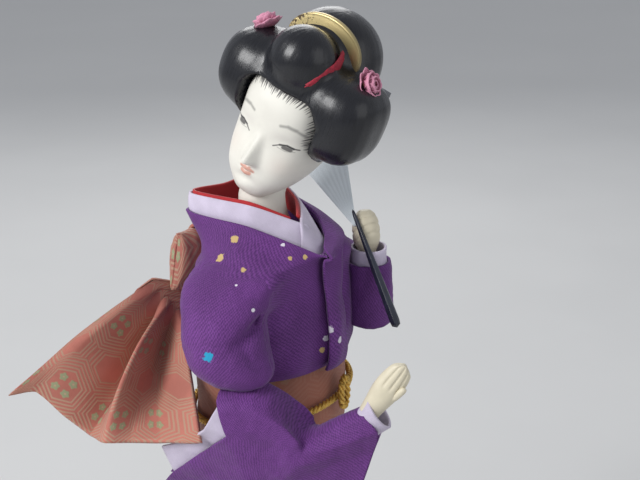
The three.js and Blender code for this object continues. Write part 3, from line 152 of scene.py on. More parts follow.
# Specks of the kimono's print, in the right forearm's frame: along, out, up, size, colour.
GOLD_SPECK, WHITE_SPECK, BLUE_SPECK = (0.56, 0.4, 0.17), (0.7, 0.66, 0.72), (0.02, 0.3, 0.5)
SPECKS = [
    (-0.7, 9.3, 19.1, 1.9, BLUE_SPECK), (7.7, 9, 18.5, 1.0, WHITE_SPECK), (-2.5, -26.6, 48.5, 1.8, GOLD_SPECK),
    (-6, -20.1, 43.4, 1.8, GOLD_SPECK), (-5.6, -19.6, 44.8, 0.9, WHITE_SPECK), (4.1, -15.4, 41.6, 1.2, GOLD_SPECK),
    (11.3, -3.6, 32.2, 0.8, WHITE_SPECK), (3.9, -8.1, 38.8, 0.6, WHITE_SPECK), (31.2, -32, 14.5, 1.5, WHITE_SPECK),
    (29.2, -33.9, 10.3, 1.2, WHITE_SPECK), (27.9, -32.9, 5.8, 1.2, GOLD_SPECK), (34.1, -35.2, 9.5, 1.4, WHITE_SPECK),
    (36, -36, 20, 1.2, GOLD_SPECK), (14.5, -29.2, 47, 0.8, WHITE_SPECK), (18, -26.2, 43.4, 0.9, GOLD_SPECK),
    (22.5, -29.7, 43, 1.1, GOLD_SPECK)]

# Hands and fan. Rows of a hand: share of its reach, share of its width, share of its depth.
RIGHT_WRIST, LEFT_WRIST, LEFT_PALM = (-18.2, -66, 4), (31.8, -20.5, 36), (32.2, -19.6, 41)
WRIST_DEPTH = 4
RIGHT_HAND_AIM, FOREARM_TURN = Vector((0.34, -0.42, 0.84)), Vector((0.62, -0.78, 0))
RIGHT_HAND_REACH, RIGHT_HAND_HALF_WIDTH, RIGHT_HAND_HALF_DEPTH = 23, 4.7, 3.3
RIGHT_HAND_ROWS = [(0, 0.74, 0.9), (0.18, 0.84, 1), (0.42, 1.02, 1.05), (0.66, 1.02, 0.9), (0.88, 0.84, 0.68),
                   (0.95, 0.66, 0.5), (0.985, 0.36, 0.3)]
THUMB_LENGTH, THUMB_RADIUS = 7.5, 1.35
FIST_REACH, FIST_HALF_WIDTH, FIST_HALF_DEPTH, FINGER_WIDTH = 14, 5.4, 5, 3.1
FIST_ROWS = [(0, 0.6, 0.6), (0.12, 0.66, 0.66), (0.35, 1, 0.95), (0.65, 1, 1), (0.88, 0.78, 0.8), (1, 0.36, 0.4)]
FAN_FOOT, FAN_TOP, FAN_APEX = (21.5, -44, 12.4), (27.4, -16.6, 51), (25.9, -20.4, 43.9)
FAN_NEAR, FAN_FAR = (31.2, 16.5, 64), (46.5, 4.5, 71.5)
FAN_STICK_ROWS = [(0, 0.5), (0.02, 0.85), (0.06, 1), (0.5, 0.86), (0.95, 0.5), (1, 0.3)]
FAN_STICK_THICK, FAN_STICK_THIN, FAN_PLEATS, FAN_PLEAT_DEPTH = 2.1, 0.9, 7, 0.14

# Head and hair, in the head's frame. Rows of the head: height, half width, front, back.
HEAD_ROWS = [(-2.4, 2.6, -12, -8), (-1.1, 5.8, -16, -4), (2.2, 9.2, -18, 0), (7, 12.8, -19.6, 6),
             (13, 15.2, -19.6, 13), (20, 16.6, -18.8, 18), (28, 16.9, -19.2, 21), (36, 16.8, -18.8, 22),
             (43, 14.6, -15.4, 20), (49, 9.4, -8.6, 14), (51.5, 3, -1, 7)]
HEAD_SQUARE = 0.75
HAIRLINE_HALF_WIDTH, HAIRLINE_HEIGHT, HAIRLINE_CORNER = 15.6, 40.6, 7
# Lobes of the hair: centre, half sizes, squareness.
HAIR_LOBES = {
    "hair_cap": ((0, 3, 31.5), (20.5, 23, 24), 1),
    "hair_side_right": ((-17.5, -0.5, 37), (15, 16, 15.5), 0.86),
    "hair_side_left": ((17.5, -0.5, 37), (15, 15.5, 15.5), 0.7),
    "hair_front_lock": ((0, -9, 52), (12, 11.5, 11.5), 1),
    "hair_topknot": ((0, 13, 47.5), (18.5, 15.5, 19.5), 0.92),
}
HAIR_FOOT = 10
RIBBON_PATH = [(-9.4, -2.5, 55.5), (-11.2, -7.5, 51.6), (-10.2, -11.5, 46.2), (-6, -11.5, 41), (0, -11.5, 39.5),
               (5, -11.5, 41), (9.3, -14, 47), (11.4, -11, 51.4), (11.6, -6, 54.4), (9.8, -1, 56.6)]
RIBBON_HALF_WALL, RIBBON_HALF_WIDTH = 0.75, 3
COMB_BASE, COMB_RISE, COMB_DROP, COMB_HALF_WIDTH, COMB_WALL, COMB_Y = 54.5, 11.5, 7.5, 15.5, 2.4, 2.8
# Flowers: place and slope of the pin, then rings of petals by count, reach, lift and how far they stand up.
FLOWER_X, FLOWER_Y, FLOWER_Z, FLOWER_SLOPE = 21.5, -0.5, 51.5, 52
PETAL_RINGS = [(8, 6.1, 0.1, 0.3), (7, 5.2, 1.0, 0.7), (6, 4.0, 1.8, 1.05), (5, 2.6, 2.2, 1.35)]
PIN_FOOT, PIN_TOP, PIN_RADIUS, PIN_CUP_RADIUS, PIN_CUP_START = -14, 3, 0.7, 2.2, 0.85


def mix(a, b, share):
    return a + (b - a) * share


def clamp(value, low=0.0, high=1.0):
    return max(low, min(high, value))


def smooth(value, low, high):
    """A soft step from 0 at low to 1 at high; high may be the smaller one."""
    t = clamp((value - low) / (high - low))
    return t * t * (3 - 2 * t)


def bell(value, middle, spread):
    return math.exp(-(((value - middle) / spread) ** 2))


def power(value, exponent):
    """A power that keeps the sign."""
    return math.copysign(abs(value) ** exponent, value)


def ripple(point, size):
    """Gentle unevenness between -1 and 1 that changes over about size millimetres."""
    return noise.noise(Vector(point) / size)


def between(rows, share):
    """The row at a share of the way through the rows, on a smooth curve through all of them."""
    place = clamp(share) * (len(rows) - 1)
    index = min(int(place), len(rows) - 2)
    t = place - index
    p, q, r, s = (rows[max(0, min(len(rows) - 1, index + k))] for k in (-1, 0, 1, 2))
    made = []
    for k in range(len(q)):
        rise = (r[k] - p[k]) / 2
        fall = (s[k] - q[k]) / 2
        swing = 3 * (r[k] - q[k]) - 2 * rise - fall
        bend = rise + fall - 2 * (r[k] - q[k])
        made.append(q[k] + rise * t + swing * t * t + bend * t ** 3)
    return made


def along(table, value):
    """Straight lines through a table of (value, result)."""
    if value <= table[0][0]:
        return table[0][1]
    for (a, x), (b, y) in zip(table, table[1:]):
        if value <= b:
            return mix(x, y, (value - a) / (b - a))
    return table[-1][1]


def chest(x, y, height):
    """A place with its height above the sash's upper edge."""
    return Vector((x, y, SASH_TOP + height))


def arm_spot(forward, out, height):
    """A place in the right forearm's frame."""
    return FOREARM_PLACE + FOREARM_ALONG * forward + FOREARM_OUT * out + Vector((0, 0, height))


def flat_out(point, centre=(0, 0)):
    """The level direction away from a centre."""
    away = Vector((point.x - centre[0], point.y - centre[1], 0))
    return away.normalized() if away.length > 1e-6 else Vector((0, -1, 0))


# Mesh and piece helpers.

def weave_panel(bm, surface, across, up, size, wraps=False):
    """Adds a panel of cloth: a grid whose points lie at surface(u, v) in millimetres, with a UV map in centimetres."""
    cloth_map = bm.loops.layers.uv.verify()
    points = bmesh.ops.create_grid(bm, x_segments=across, y_segments=up, size=0.5)["verts"]
    for face in {face for point in points for face in point.link_faces}:
        for corner in face.loops:
            spot = corner.vert.co
            corner[cloth_map].uv = ((spot.x + 0.5) * size[0] / 10, (spot.y + 0.5) * size[1] / 10)
    for point in points:
        point.co = MM * surface(clamp(point.co.x + 0.5), clamp(point.co.y + 0.5))
    if wraps:
        bmesh.ops.remove_doubles(bm, verts=points, dist=1e-6)


def round_body(bm, surface, around, up, tall):
    """Adds a closed body: a ball whose points lie at surface(angle, share) in millimetres, share 0 at its foot."""
    bm.loops.layers.uv.verify()
    points = bmesh.ops.create_uvsphere(bm, u_segments=around, v_segments=up, radius=1, calc_uvs=True)["verts"]
    cloth_map = bm.loops.layers.uv.verify()
    for face in {face for point in points for face in point.link_faces}:
        for corner in face.loops:
            corner[cloth_map].uv = (corner[cloth_map].uv[0] * tall / 5, corner[cloth_map].uv[1] * tall / 10)
    for point in points:
        share = 1 - math.acos(clamp(point.co.z, -1, 1)) / math.pi
        point.co = MM * surface(math.atan2(point.co.y, point.co.x), share)


def turn_out(bm):
    """Turns all faces outwards, judged by where they lie now."""
    bm.normal_update()
    bmesh.ops.recalc_face_normals(bm, faces=bm.faces)


def close_ends(bm):
    """Fills the open ends of a tube and turns its faces outwards."""
    bmesh.ops.holes_fill(bm, edges=[edge for edge in bm.edges if edge.is_boundary], sides=0)
    turn_out(bm)


def put(name, bm, material, body, nodes=(), wall=0.0, offset=-1.0, sharp=None):
    """Makes the bmesh a piece of the doll: smooth, walled, riding on its body and standing for its nodes."""
    mesh = bpy.data.meshes.new(name)
    bm.to_mesh(mesh)
    bm.free()
    piece = bpy.data.objects.new(name, mesh)
    bpy.context.scene.collection.objects.link(piece)
    mesh.materials.append(material)
    mesh.shade_smooth()
    if sharp is not None:
        mesh.set_sharp_from_angle(angle=math.radians(sharp))
    if wall:
        lining = piece.modifiers.new("wall", "SOLIDIFY")
        lining.thickness = wall
        lining.offset = offset
    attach(piece, body)
    if nodes:
        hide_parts(*nodes)
    return piece


def cloth(name, nodes, material, slot, wall, *panels, body="figure", offset=-1.0, turned=False):
    """Makes a piece of cloth from panels, each listed as weave_panel takes it, with its faces turned out if asked."""
    bm = bmesh.new()
    for panel in panels:
        weave_panel(bm, *panel)
    if turned:
        turn_out(bm)
    return put(name, bm, material, body, nodes, wall, offset)


def moulded(name, nodes, material, body, slot, *forms):
    """Makes a solid piece from closed bodies, each listed as round_body takes it."""
    bm = bmesh.new()
    for form in forms:
        round_body(bm, *form)
    turn_out(bm)
    return put(name, bm, material, body, nodes)


def cover(node, material):
    """Gives a solid that keeps its own shape a finish."""
    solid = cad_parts[node]
    solid.data.materials.clear()
    solid.data.materials.append(material)


# Material helpers.

def feed(tree, node, inputs):
    """Sets a node's inputs to constants, or links them to outputs of other nodes."""
    for key, value in inputs.items():
        if isinstance(value, bpy.types.NodeSocket):
            tree.links.new(value, node.inputs[key])
        else:
            node.inputs[key].default_value = value
    return node


def add(tree, kind, inputs=None, **settings):
    made = tree.nodes.new(kind)
    for key, value in settings.items():
        setattr(made, key, value)
    return feed(tree, made, inputs or {})


def calc(tree, operation, *values):
    return add(tree, "ShaderNodeMath", dict(enumerate(values)), operation=operation).outputs[0]


def calc_vector(tree, operation, *values):
    made = add(tree, "ShaderNodeVectorMath", dict(enumerate(values)), operation=operation)
    return made.outputs["Value"] if operation in ("LENGTH", "DOT_PRODUCT", "DISTANCE") else made.outputs["Vector"]


def split(tree, vector):
    return add(tree, "ShaderNodeSeparateXYZ", {0: vector}).outputs


def same(tree, value, last=None):
    """A vector of one value, or with a last part of its own."""
    return add(tree, "ShaderNodeCombineXYZ", {0: value, 1: value, 2: value if last is None else last}).outputs[0]


def ramp(tree, value, low, high, start=0.0, end=1.0):
    made = add(tree, "ShaderNodeMapRange", {0: value, 1: low, 2: high, 3: start, 4: end},
               interpolation_type="SMOOTHSTEP")
    return made.outputs[0]


def tint(tree, mask, first, second):
    return add(tree, "ShaderNodeMix", {0: mask, 6: first, 7: second}, data_type="RGBA").outputs[2]


def shade(tree, amount, colour, dark):
    """The colour, multiplied towards dark by the mask amount."""
    made = add(tree, "ShaderNodeMix", {0: amount, 6: colour, 7: dark}, data_type="RGBA", blend_type="MULTIPLY")
    return made.outputs[2]


def most(tree, masks):
    """The largest of some masks at each place."""
    largest = masks[0]
    for mask in masks[1:]:
        largest = calc(tree, "MAXIMUM", largest, mask)
    return largest


def clouds(tree, point, scale, detail=2.0, roughness=0.5):
    """Noise: one value from 0 to 1, and a colour of three such values."""
    return add(tree, "ShaderNodeTexNoise", {"Vector": point, "Scale": scale, "Detail": detail,
                                            "Roughness": roughness}).outputs


def wander(tree, point, scale, detail, amount):
    """The point, moved about by noise so that lines through it aren't quite straight."""
    uneven = clouds(tree, point, scale, detail)[1]
    return calc_vector(tree, "ADD", point, calc_vector(tree, "MULTIPLY", uneven, (amount, amount, 0.0)))


def attribute(tree, name):
    return add(tree, "ShaderNodeAttribute", attribute_name=name).outputs["Fac"]


def object_point(tree):
    return add(tree, "ShaderNodeTexCoord").outputs["Object"]


def cloth_point(tree):
    return add(tree, "ShaderNodeUVMap").outputs[0]


def rgba(colour, by=1.0):
    return (colour[0] * by, colour[1] * by, colour[2] * by, 1.0)


def effect(name, inputs, outputs, build):
    """A shared effect as a node group, built once."""
    if name in bpy.data.node_groups:
        return bpy.data.node_groups[name]
    tree = bpy.data.node_groups.new(name, "ShaderNodeTree")
    for way, sockets in (("INPUT", inputs), ("OUTPUT", outputs)):
        for label, kind in sockets.items():
            tree.interface.new_socket(name=label, in_out=way, socket_type="NodeSocket" + kind)
    given = tree.nodes.new("NodeGroupInput").outputs
    feed(tree, tree.nodes.new("NodeGroupOutput"), build(tree, given))
    return tree


def use(tree, group, **inputs):
    return feed(tree, add(tree, "ShaderNodeGroup", node_tree=group), inputs).outputs


def twill(tree, point, pitch):
    """Fine slanting twill with crossing threads, as a height from 0 to 1."""
    def build(tree, given):
        parts = split(tree, calc_vector(tree, "DIVIDE", given["Vector"], same(tree, given["Pitch"], 1.0)))
        rise = calc(tree, "ADD", parts[0], parts[1])
        cross = calc(tree, "SUBTRACT", parts[0], parts[1])
        rib = calc(tree, "SINE", calc(tree, "MULTIPLY", rise, TURN))
        thread = calc(tree, "SINE", calc(tree, "MULTIPLY", cross, 1.3 * TURN))
        both = calc(tree, "MULTIPLY_ADD", thread, 0.75, rib)
        return {"Height": calc(tree, "MULTIPLY_ADD", both, 0.285, 0.5)}
    group = effect("twill", {"Vector": "Vector", "Pitch": "Float"}, {"Height": "Float"}, build)
    return use(tree, group, Vector=point, Pitch=pitch)["Height"]


def mottle(tree, point, scale):
    """Soft uneven patches from 0 to 1."""
    def build(tree, given):
        return {"Patches": ramp(tree, clouds(tree, given["Vector"], given["Scale"], 4.0, 0.6)[0], 0.3, 0.7)}
    group = effect("mottle", {"Vector": "Vector", "Scale": "Float"}, {"Patches": "Float"}, build)
    return use(tree, group, Vector=point, Scale=scale)["Patches"]


def stroke(tree, point, start, end, width, soft):
    """A brush stroke in millimetres of the face: 1 within width of the line from start to end, fading over soft."""
    def build(tree, given):
        reach = calc_vector(tree, "SUBTRACT", given["Point"], given["Start"])
        line = calc_vector(tree, "SUBTRACT", given["End"], given["Start"])
        share = calc(tree, "DIVIDE", calc_vector(tree, "DOT_PRODUCT", reach, line),
                     calc(tree, "MAXIMUM", calc_vector(tree, "DOT_PRODUCT", line, line), 1e-6))
        share = calc(tree, "MINIMUM", calc(tree, "MAXIMUM", share, 0.0), 1.0)
        foot = calc_vector(tree, "MULTIPLY", line, same(tree, share))
        away = calc_vector(tree, "LENGTH", calc_vector(tree, "SUBTRACT", reach, foot))
        outer = calc(tree, "ADD", given["Width"], given["Soft"])
        inner = calc(tree, "SUBTRACT", given["Width"], given["Soft"])
        return {"Mask": ramp(tree, away, inner, outer, 1.0, 0.0)}
    group = effect("stroke", {"Point": "Vector", "Start": "Vector", "End": "Vector", "Width": "Float", "Soft": "Float"},
                   {"Mask": "Float"}, build)
    return use(tree, group, Point=point, Start=(start[0] / 10, start[1] / 10, 0), End=(end[0] / 10, end[1] / 10, 0),
               Width=width / 10, Soft=soft / 10)["Mask"]


def hexagons(tree, point, pitch):
    """Cells of a six-sided lattice: Edge from 0 in a cell's middle to 1 at its rim, and the place in the cell."""
    def build(tree, given):
        slant = math.sqrt(3) / 2
        half = (0.5, slant, 0.5)
        least = tuple(-side for side in half)
        scaled = calc_vector(tree, "DIVIDE", given["Vector"], same(tree, given["Pitch"], 1.0))
        first = calc_vector(tree, "WRAP", scaled, half, least)
        second = calc_vector(tree, "WRAP", calc_vector(tree, "SUBTRACT", scaled, half), half, least)
        nearer = calc(tree, "LESS_THAN", calc_vector(tree, "LENGTH", second), calc_vector(tree, "LENGTH", first))
        cell = add(tree, "ShaderNodeMix", {0: nearer, 4: first, 5: second}, data_type="VECTOR").outputs[1]
        side = split(tree, calc_vector(tree, "ABSOLUTE", cell))
        slope = calc(tree, "MULTIPLY_ADD", side[1], slant, calc(tree, "MULTIPLY", side[0], 0.5))
        return {"Edge": calc(tree, "MULTIPLY", calc(tree, "MAXIMUM", side[0], slope), 2.0), "Cell": cell}
    group = effect("hexagons", {"Vector": "Vector", "Pitch": "Float"}, {"Edge": "Float", "Cell": "Vector"}, build)
    return use(tree, group, Vector=point, Pitch=pitch)


def blank(name):
    material = bpy.data.materials.new(name)
    material.use_nodes = True
    return material, material.node_tree, material.node_tree.nodes["Principled BSDF"]


def relief(tree, shader, height, strength, depth):
    """Feeds a height to the shader's normal; depth is in millimetres."""
    bump = add(tree, "ShaderNodeBump", {"Height": height, "Strength": strength, "Distance": depth * MM})
    feed(tree, shader, {"Normal": bump.outputs[0]})


def shared(name, make, *given, **settings):
    """The finish of that name, made once."""
    return bpy.data.materials.get(name) or make(name, *given, **settings)


# Materials.

def crepe(name, colour, pitch, sheen, depth, contrast, specks=()):
    """Crepe silk: twill threads, uneven dye and a soft sheen, with printed specks at given places."""
    material, tree, shader = blank(name)
    spot = object_point(tree)
    threads = twill(tree, wander(tree, cloth_point(tree), 9.0, 2.0, 0.11), pitch)
    dyed = tint(tree, mottle(tree, spot, 55.0), rgba(colour, 0.86), rgba(colour, 1.1))
    woven = shade(tree, calc(tree, "MULTIPLY_ADD", threads, -contrast, contrast), dyed, (0.3, 0.25, 0.36, 1))
    ragged = clouds(tree, spot, 900.0)[0] if specks else 0.0
    for place, size, speck in specks:
        away = calc_vector(tree, "DISTANCE", spot, tuple(MM * k for k in place))
        away = calc(tree, "MULTIPLY_ADD", ragged, 1.3 * size * MM, away)
        woven = tint(tree, ramp(tree, away, 1.4 * size * MM, 1.65 * size * MM, 1.0, 0.0), woven, rgba(speck))
    feed(tree, shader, {"Base Color": woven, "Roughness": 0.78, "Specular IOR Level": 0.3, "Sheen Weight": sheen,
                        "Sheen Roughness": 0.4})
    relief(tree, shader, threads, 0.5, depth)
    return material


def brocade(name, colours, ground, pitch, clear):
    """Figured silk: rings of hexagons in tan with four green blossoms in each, as clear as wished on its ground."""
    material, tree, shader = blank(name)
    point = wander(tree, cloth_point(tree), 1.2, 1.0, 0.05)
    lattice = hexagons(tree, point, pitch)
    rings_in_cell = 7
    stripes = calc(tree, "SINE", calc(tree, "MULTIPLY", lattice["Edge"], TURN * rings_in_cell))
    rings = calc(tree, "MULTIPLY", ramp(tree, stripes, -0.3, 0.45), ramp(tree, lattice["Edge"], 0.5, 0.56, 0.0, clear))
    place = calc_vector(tree, "SUBTRACT", calc_vector(tree, "ABSOLUTE", lattice["Cell"]), (0.115, 0.125, 0.0))
    parts = split(tree, place)
    turn = calc(tree, "ARCTAN2", parts[1], parts[0])
    petals = calc(tree, "MULTIPLY_ADD", calc(tree, "COSINE", calc(tree, "MULTIPLY", turn, 5.0)), 0.011, 0.08)
    middle = calc_vector(tree, "LENGTH", place)
    blossom = ramp(tree, calc(tree, "SUBTRACT", middle, petals), -0.014, 0.01, clear, 0.0)
    heart = ramp(tree, middle, 0.014, 0.026, clear, 0.0)
    threads = twill(tree, point, 0.055)
    woven = tint(tree, mottle(tree, object_point(tree), 45.0), rgba(ground, 0.85), rgba(ground, 1.12))
    woven = tint(tree, rings, woven, rgba(colours.brocade_ring))
    woven = tint(tree, blossom, woven, rgba(colours.brocade_blossom))
    woven = tint(tree, heart, woven, rgba(colours.brocade_ring, 1.15))
    woven = shade(tree, calc(tree, "MULTIPLY_ADD", threads, -0.3, 0.3), woven, (0.35, 0.3, 0.3, 1))
    figured = calc(tree, "MAXIMUM", rings, blossom)
    feed(tree, shader, {"Base Color": woven, "Roughness": ramp(tree, figured, 0.0, 1.0, 0.72, 0.5),
                        "Specular IOR Level": 0.4, "Sheen Weight": 0.15})
    relief(tree, shader, calc(tree, "MULTIPLY_ADD", figured, 0.8, calc(tree, "MULTIPLY", threads, 0.5)), 0.6, 0.14)
    return material


def grained(name, colour, scale, rough, spread=0.25, metallic=0.0, depth=0.05, coat=0.0, stretch=(1, 1, 1)):
    """A hard or fibrous finish with grain that can be drawn out along one direction, and uneven gloss."""
    material, tree, shader = blank(name)
    drawn = add(tree, "ShaderNodeMapping", {"Vector": object_point(tree), "Scale": stretch}).outputs[0]
    patches = mottle(tree, drawn, scale)
    feed(tree, shader, {"Base Color": tint(tree, patches, rgba(colour, 1 - spread), rgba(colour, 1 + spread)),
                        "Roughness": ramp(tree, patches, 0.0, 1.0, 0.85 * rough, 1.15 * rough),
                        "Metallic": metallic, "Coat Weight": coat})
    relief(tree, shader, patches, 0.35, depth)
    return material


def painted_face(colours):
    """Matt white face with brushed brows, narrow eyes, small coral lips, a feathered hairline and a faint painted grey
    shade over each upper eyelid.
    """
    material, tree, shader = blank("painted_face")
    point = cloth_point(tree)

    def drawn(points, widths, soft, side=1):
        places = [(x * side, z) for x, z in points]
        return most(tree, [stroke(tree, point, start, end, width, soft)
                           for start, end, width in zip(places, places[1:], widths)])

    def faint(mask, strength):
        return calc(tree, "MULTIPLY", mask, strength)

    patches = mottle(tree, object_point(tree), 70.0)
    skin = tint(tree, patches, rgba(colours.face, 0.965), rgba(colours.face, 1.02))
    for side in (-1, 1):
        cheek = drawn([(10.5, 15), (10.5, 16)], [2], 5, side)
        skin = tint(tree, faint(cheek, 0.16), skin, rgba((0.8, 0.5, 0.42)))
        # Painted shade: a faint grey band over each upper eyelid stands in for the shadow of the eye socket.
        lid_painted_shade = drawn([(6, 26), (13, 26.6)], [0.8], 2.6, side)
        skin = tint(tree, faint(lid_painted_shade, 0.16), skin, rgba((0.55, 0.5, 0.48)))
    upper_lip = drawn([(-2.7, 9.7), (-0.9, 10.2), (0, 9.8), (0.9, 10.2), (2.7, 9.7)], [0.5, 0.7, 0.7, 0.5], 0.35)
    lower_lip = drawn([(-1.6, 8.5), (0, 8.1), (1.6, 8.5)], [0.75, 0.75], 0.4)
    skin = tint(tree, faint(most(tree, [upper_lip, lower_lip]), 0.85), skin, rgba(colours.lips))
    parting = drawn([(-2.5, 9.35), (0, 9.2), (2.5, 9.35)], [0.14, 0.14], 0.16)
    skin = tint(tree, faint(parting, 0.6), skin, rgba(colours.lips, 0.4))
    ink = []
    for side in (-1, 1):
        brow = drawn([(5.9, 30.2), (8.4, 31.0), (11.2, 30.6), (14, 29.2)], [0.45, 0.58, 0.42], 0.55, side)
        lash = drawn([(5.4, 21.9), (7.4, 23.2), (9.8, 23.9), (12, 23.5), (13.5, 23.6)], [0.2, 0.34, 0.4, 0.24], 0.22,
                     side)
        pupil = drawn([(8.9, 22.9), (11.2, 22.7)], [0.75], 0.3, side)
        lower = drawn([(7, 22.1), (9.8, 21.7), (12.6, 22.4)], [0.14, 0.14], 0.22, side)
        ink += [faint(brow, 0.55), lash, faint(pupil, 0.85), faint(lower, 0.45)]
    turned = calc(tree, "MULTIPLY", attribute(tree, "turn"), 9.0)
    bristle = add(tree, "ShaderNodeTexNoise", {"W": turned, "Scale": 4.0, "Detail": 3.0}, noise_dimensions="1D")
    reach = calc(tree, "MULTIPLY_ADD", ramp(tree, bristle.outputs[0], 0.35, 0.68), 2.9, -0.4)
    ink.append(ramp(tree, calc(tree, "SUBTRACT", attribute(tree, "fringe"), reach), -0.5, 0.4, 0.9, 0.0))
    skin = tint(tree, calc(tree, "MULTIPLY", most(tree, ink), attribute(tree, "front")), skin, rgba(colours.ink))
    feed(tree, shader, {"Base Color": skin, "Roughness": ramp(tree, patches, 0.0, 1.0, 0.42, 0.5),
                        "Specular IOR Level": 0.35})
    relief(tree, shader, patches, 0.15, 0.03)
    return material


def combed_hair(colours):
    """Glossy black hair: fine combed strands in the lobe's own direction under a lacquered surface."""
    material, tree, shader = blank("combed_hair")
    point = add(tree, "ShaderNodeMapping", {"Vector": cloth_point(tree), "Scale": (26, 1.2, 1)}).outputs[0]
    fine = ramp(tree, clouds(tree, point, 2.0, 5.0, 0.65)[0], 0.3, 0.7)
    feed(tree, shader, {"Base Color": tint(tree, fine, rgba(colours.hair, 0.6), rgba(colours.hair, 1.5)),
                        "Roughness": ramp(tree, fine, 0.0, 1.0, 0.26, 0.34), "Specular IOR Level": 0.42,
                        "Coat Weight": 0.2, "Coat Roughness": 0.16})
    relief(tree, shader, fine, 0.22, 0.07)
    return material


def gilt_comb(colours):
    """Comb in worn gilt: sprinkled with dark flecks at its right end, and with painted shade that dims it towards its
    left.
    """
    material, tree, shader = blank("gilt_comb")
    across = attribute(tree, "across")
    flecks = clouds(tree, object_point(tree), 750.0, 3.0, 0.7)[0]
    worn = calc(tree, "MULTIPLY_ADD", ramp(tree, across, -0.75, 0.2, 0.0, 0.24), -1.0, flecks)
    dark = ramp(tree, worn, 0.5, 0.58)
    # Painted shade: the gilt darkens towards the comb's left end, standing in for shadow falling there.
    painted_shade_gilt = tint(tree, ramp(tree, across, -0.1, 0.9), rgba(colours.gilt), rgba(colours.gilt, 0.55))
    feed(tree, shader, {"Base Color": tint(tree, dark, painted_shade_gilt, rgba((0.09, 0.06, 0.03))),
                        "Metallic": ramp(tree, dark, 0.0, 1.0, 0.6, 0.1),
                        "Roughness": ramp(tree, dark, 0.0, 1.0, 0.34, 0.28)})
    relief(tree, shader, dark, 0.4, -0.06)
    return material


def petal_silk(colours):
    """Pink petals, paler at their rims and veined along their length."""
    material, tree, shader = blank("petal_silk")
    point = cloth_point(tree)
    veins = clouds(tree, calc_vector(tree, "MULTIPLY", point, (9.0, 0.6, 1.0)), 6.0)[0]
    pale = calc(tree, "MULTIPLY_ADD", veins, 0.4, ramp(tree, split(tree, point)[1], 0.15, 0.6, 0.0, 0.6))
    feed(tree, shader, {"Base Color": tint(tree, pale, rgba(colours.flower, 0.75), rgba(colours.flower_rim)),
                        "Roughness": 0.7, "Sheen Weight": 0.2})
    relief(tree, shader, veins, 0.4, 0.1)
    return material


def gold_thread(colours):
    """Gold thread laid in twisted strands."""
    material, tree, shader = blank("gold_thread")
    threads = twill(tree, cloth_point(tree), 0.05)
    gold = tint(tree, mottle(tree, object_point(tree), 300.0), rgba(colours.cord, 0.8), rgba(colours.cord, 1.15))
    laid = shade(tree, calc(tree, "MULTIPLY_ADD", threads, -0.5, 0.5), gold, (0.3, 0.2, 0.1, 1))
    feed(tree, shader, {"Base Color": laid, "Metallic": 0.75, "Roughness": ramp(tree, threads, 0.0, 1.0, 0.5, 0.32)})
    relief(tree, shader, threads, 0.6, 0.12)
    return material


def fan_paper(colours):
    """Thin pale paper with drawn-out fibres."""
    material, tree, shader = blank("fan_paper")
    fibres = clouds(tree, calc_vector(tree, "MULTIPLY", cloth_point(tree), (3.0, 14.0, 1.0)), 4.0, 4.0)[0]
    pale = tint(tree, ramp(tree, fibres, 0.3, 0.7), rgba(colours.fan_leaf, 0.86), rgba(colours.fan_leaf, 1.06))
    feed(tree, shader, {"Base Color": pale, "Roughness": 0.6})
    relief(tree, shader, fibres, 0.3, 0.06)
    return material


def purple():
    scene = bpy.context.scene
    specks = [(arm_spot(*place), size, colour) for *place, size, colour in SPECKS]
    return shared("purple_crepe", crepe, scene.doll_colours.kimono, 1.45 * CM_PER_M * scene.doll_sizes.thread_pitch,
                  0.15, 0.12, 0.85, specks)


def pale():
    scene = bpy.context.scene
    return shared("pale_crepe", crepe, scene.doll_colours.collar, 0.8 * CM_PER_M * scene.doll_sizes.thread_pitch,
                  0.2, 0.06, 0.2)


def red():
    scene = bpy.context.scene
    return shared("red_silk", crepe, scene.doll_colours.lining, 0.7 * CM_PER_M * scene.doll_sizes.thread_pitch,
                  0.2, 0.05, 0.3)


def sash_silk(name, ground, clear):
    scene = bpy.context.scene
    return shared(name, brocade, scene.doll_colours, ground, CM_PER_M * scene.doll_sizes.hexagon_pitch, clear)


def dark_stick(colours):
    return shared("dark_stick", grained, colours.fan_stick, 120.0, 0.3, 0.4, coat=0.3, stretch=(1, 1, 0.2))


# Shapes of the clothes.

def body_ring(share, half_width, half_depth, centre_y, height):
    """A point at a share of the way round the body, from the front and by the doll's left."""
    half = 2 * share if share <= 0.5 else 2 - 2 * share
    angle = math.radians(between([(-90,), (-15,), (40,), (90,)], half)[0])
    side = 1 if share <= 0.5 else -1
    return chest(side * half_width * math.cos(angle), centre_y + half_depth * math.sin(angle), height)


def neck_ring(share):
    """A point at a share of the way round the neckline, as body_ring counts."""
    if share <= 0.5:
        return chest(*between(NECKLINE_LEFT, 2 * share))
    return chest(*between(NECKLINE_RIGHT, 2 - 2 * share))


def bodice_point(share, rise):
    """The bodice's outside, from its hem up to the neckline, with full shoulders and soft folds."""
    rows = [body_ring(share, width, depth, y, height) for height, width, depth, y in BODICE_ROWS]
    point = Vector(between([*rows, neck_ring(share)], rise))
    height = point.z - SASH_TOP
    away = flat_out(point)
    point += away * 4.2 * bell(height, 40, 7) * smooth(away.dot(LEFT_SHOULDER), 0.35, 1.0)
    if away.dot(FOREARM_OUT) > -0.1 and height > 14:
        out, seam = shoulder_join(point, away, sleeve_distance)
        inside = sleeve_distance(point)
        shown = max(smooth(inside, -4, -1) * smooth(height, 14, 24), smooth(height, 37, 40)) * smooth(rise, 1.0, 0.9)
        point += away * (out * shown - seam * smooth(inside, 6, 1))
    lower = smooth(height, 44, 26) * smooth(rise, 0.0, 0.12)
    around = TURN * share
    fold = 0.55 * math.sin(11 * around + 0.05 * height) + 0.4 * math.sin(17 * around - 0.11 * height + 1)
    return point + away * (lower * fold + 0.5 * ripple(point, 9))


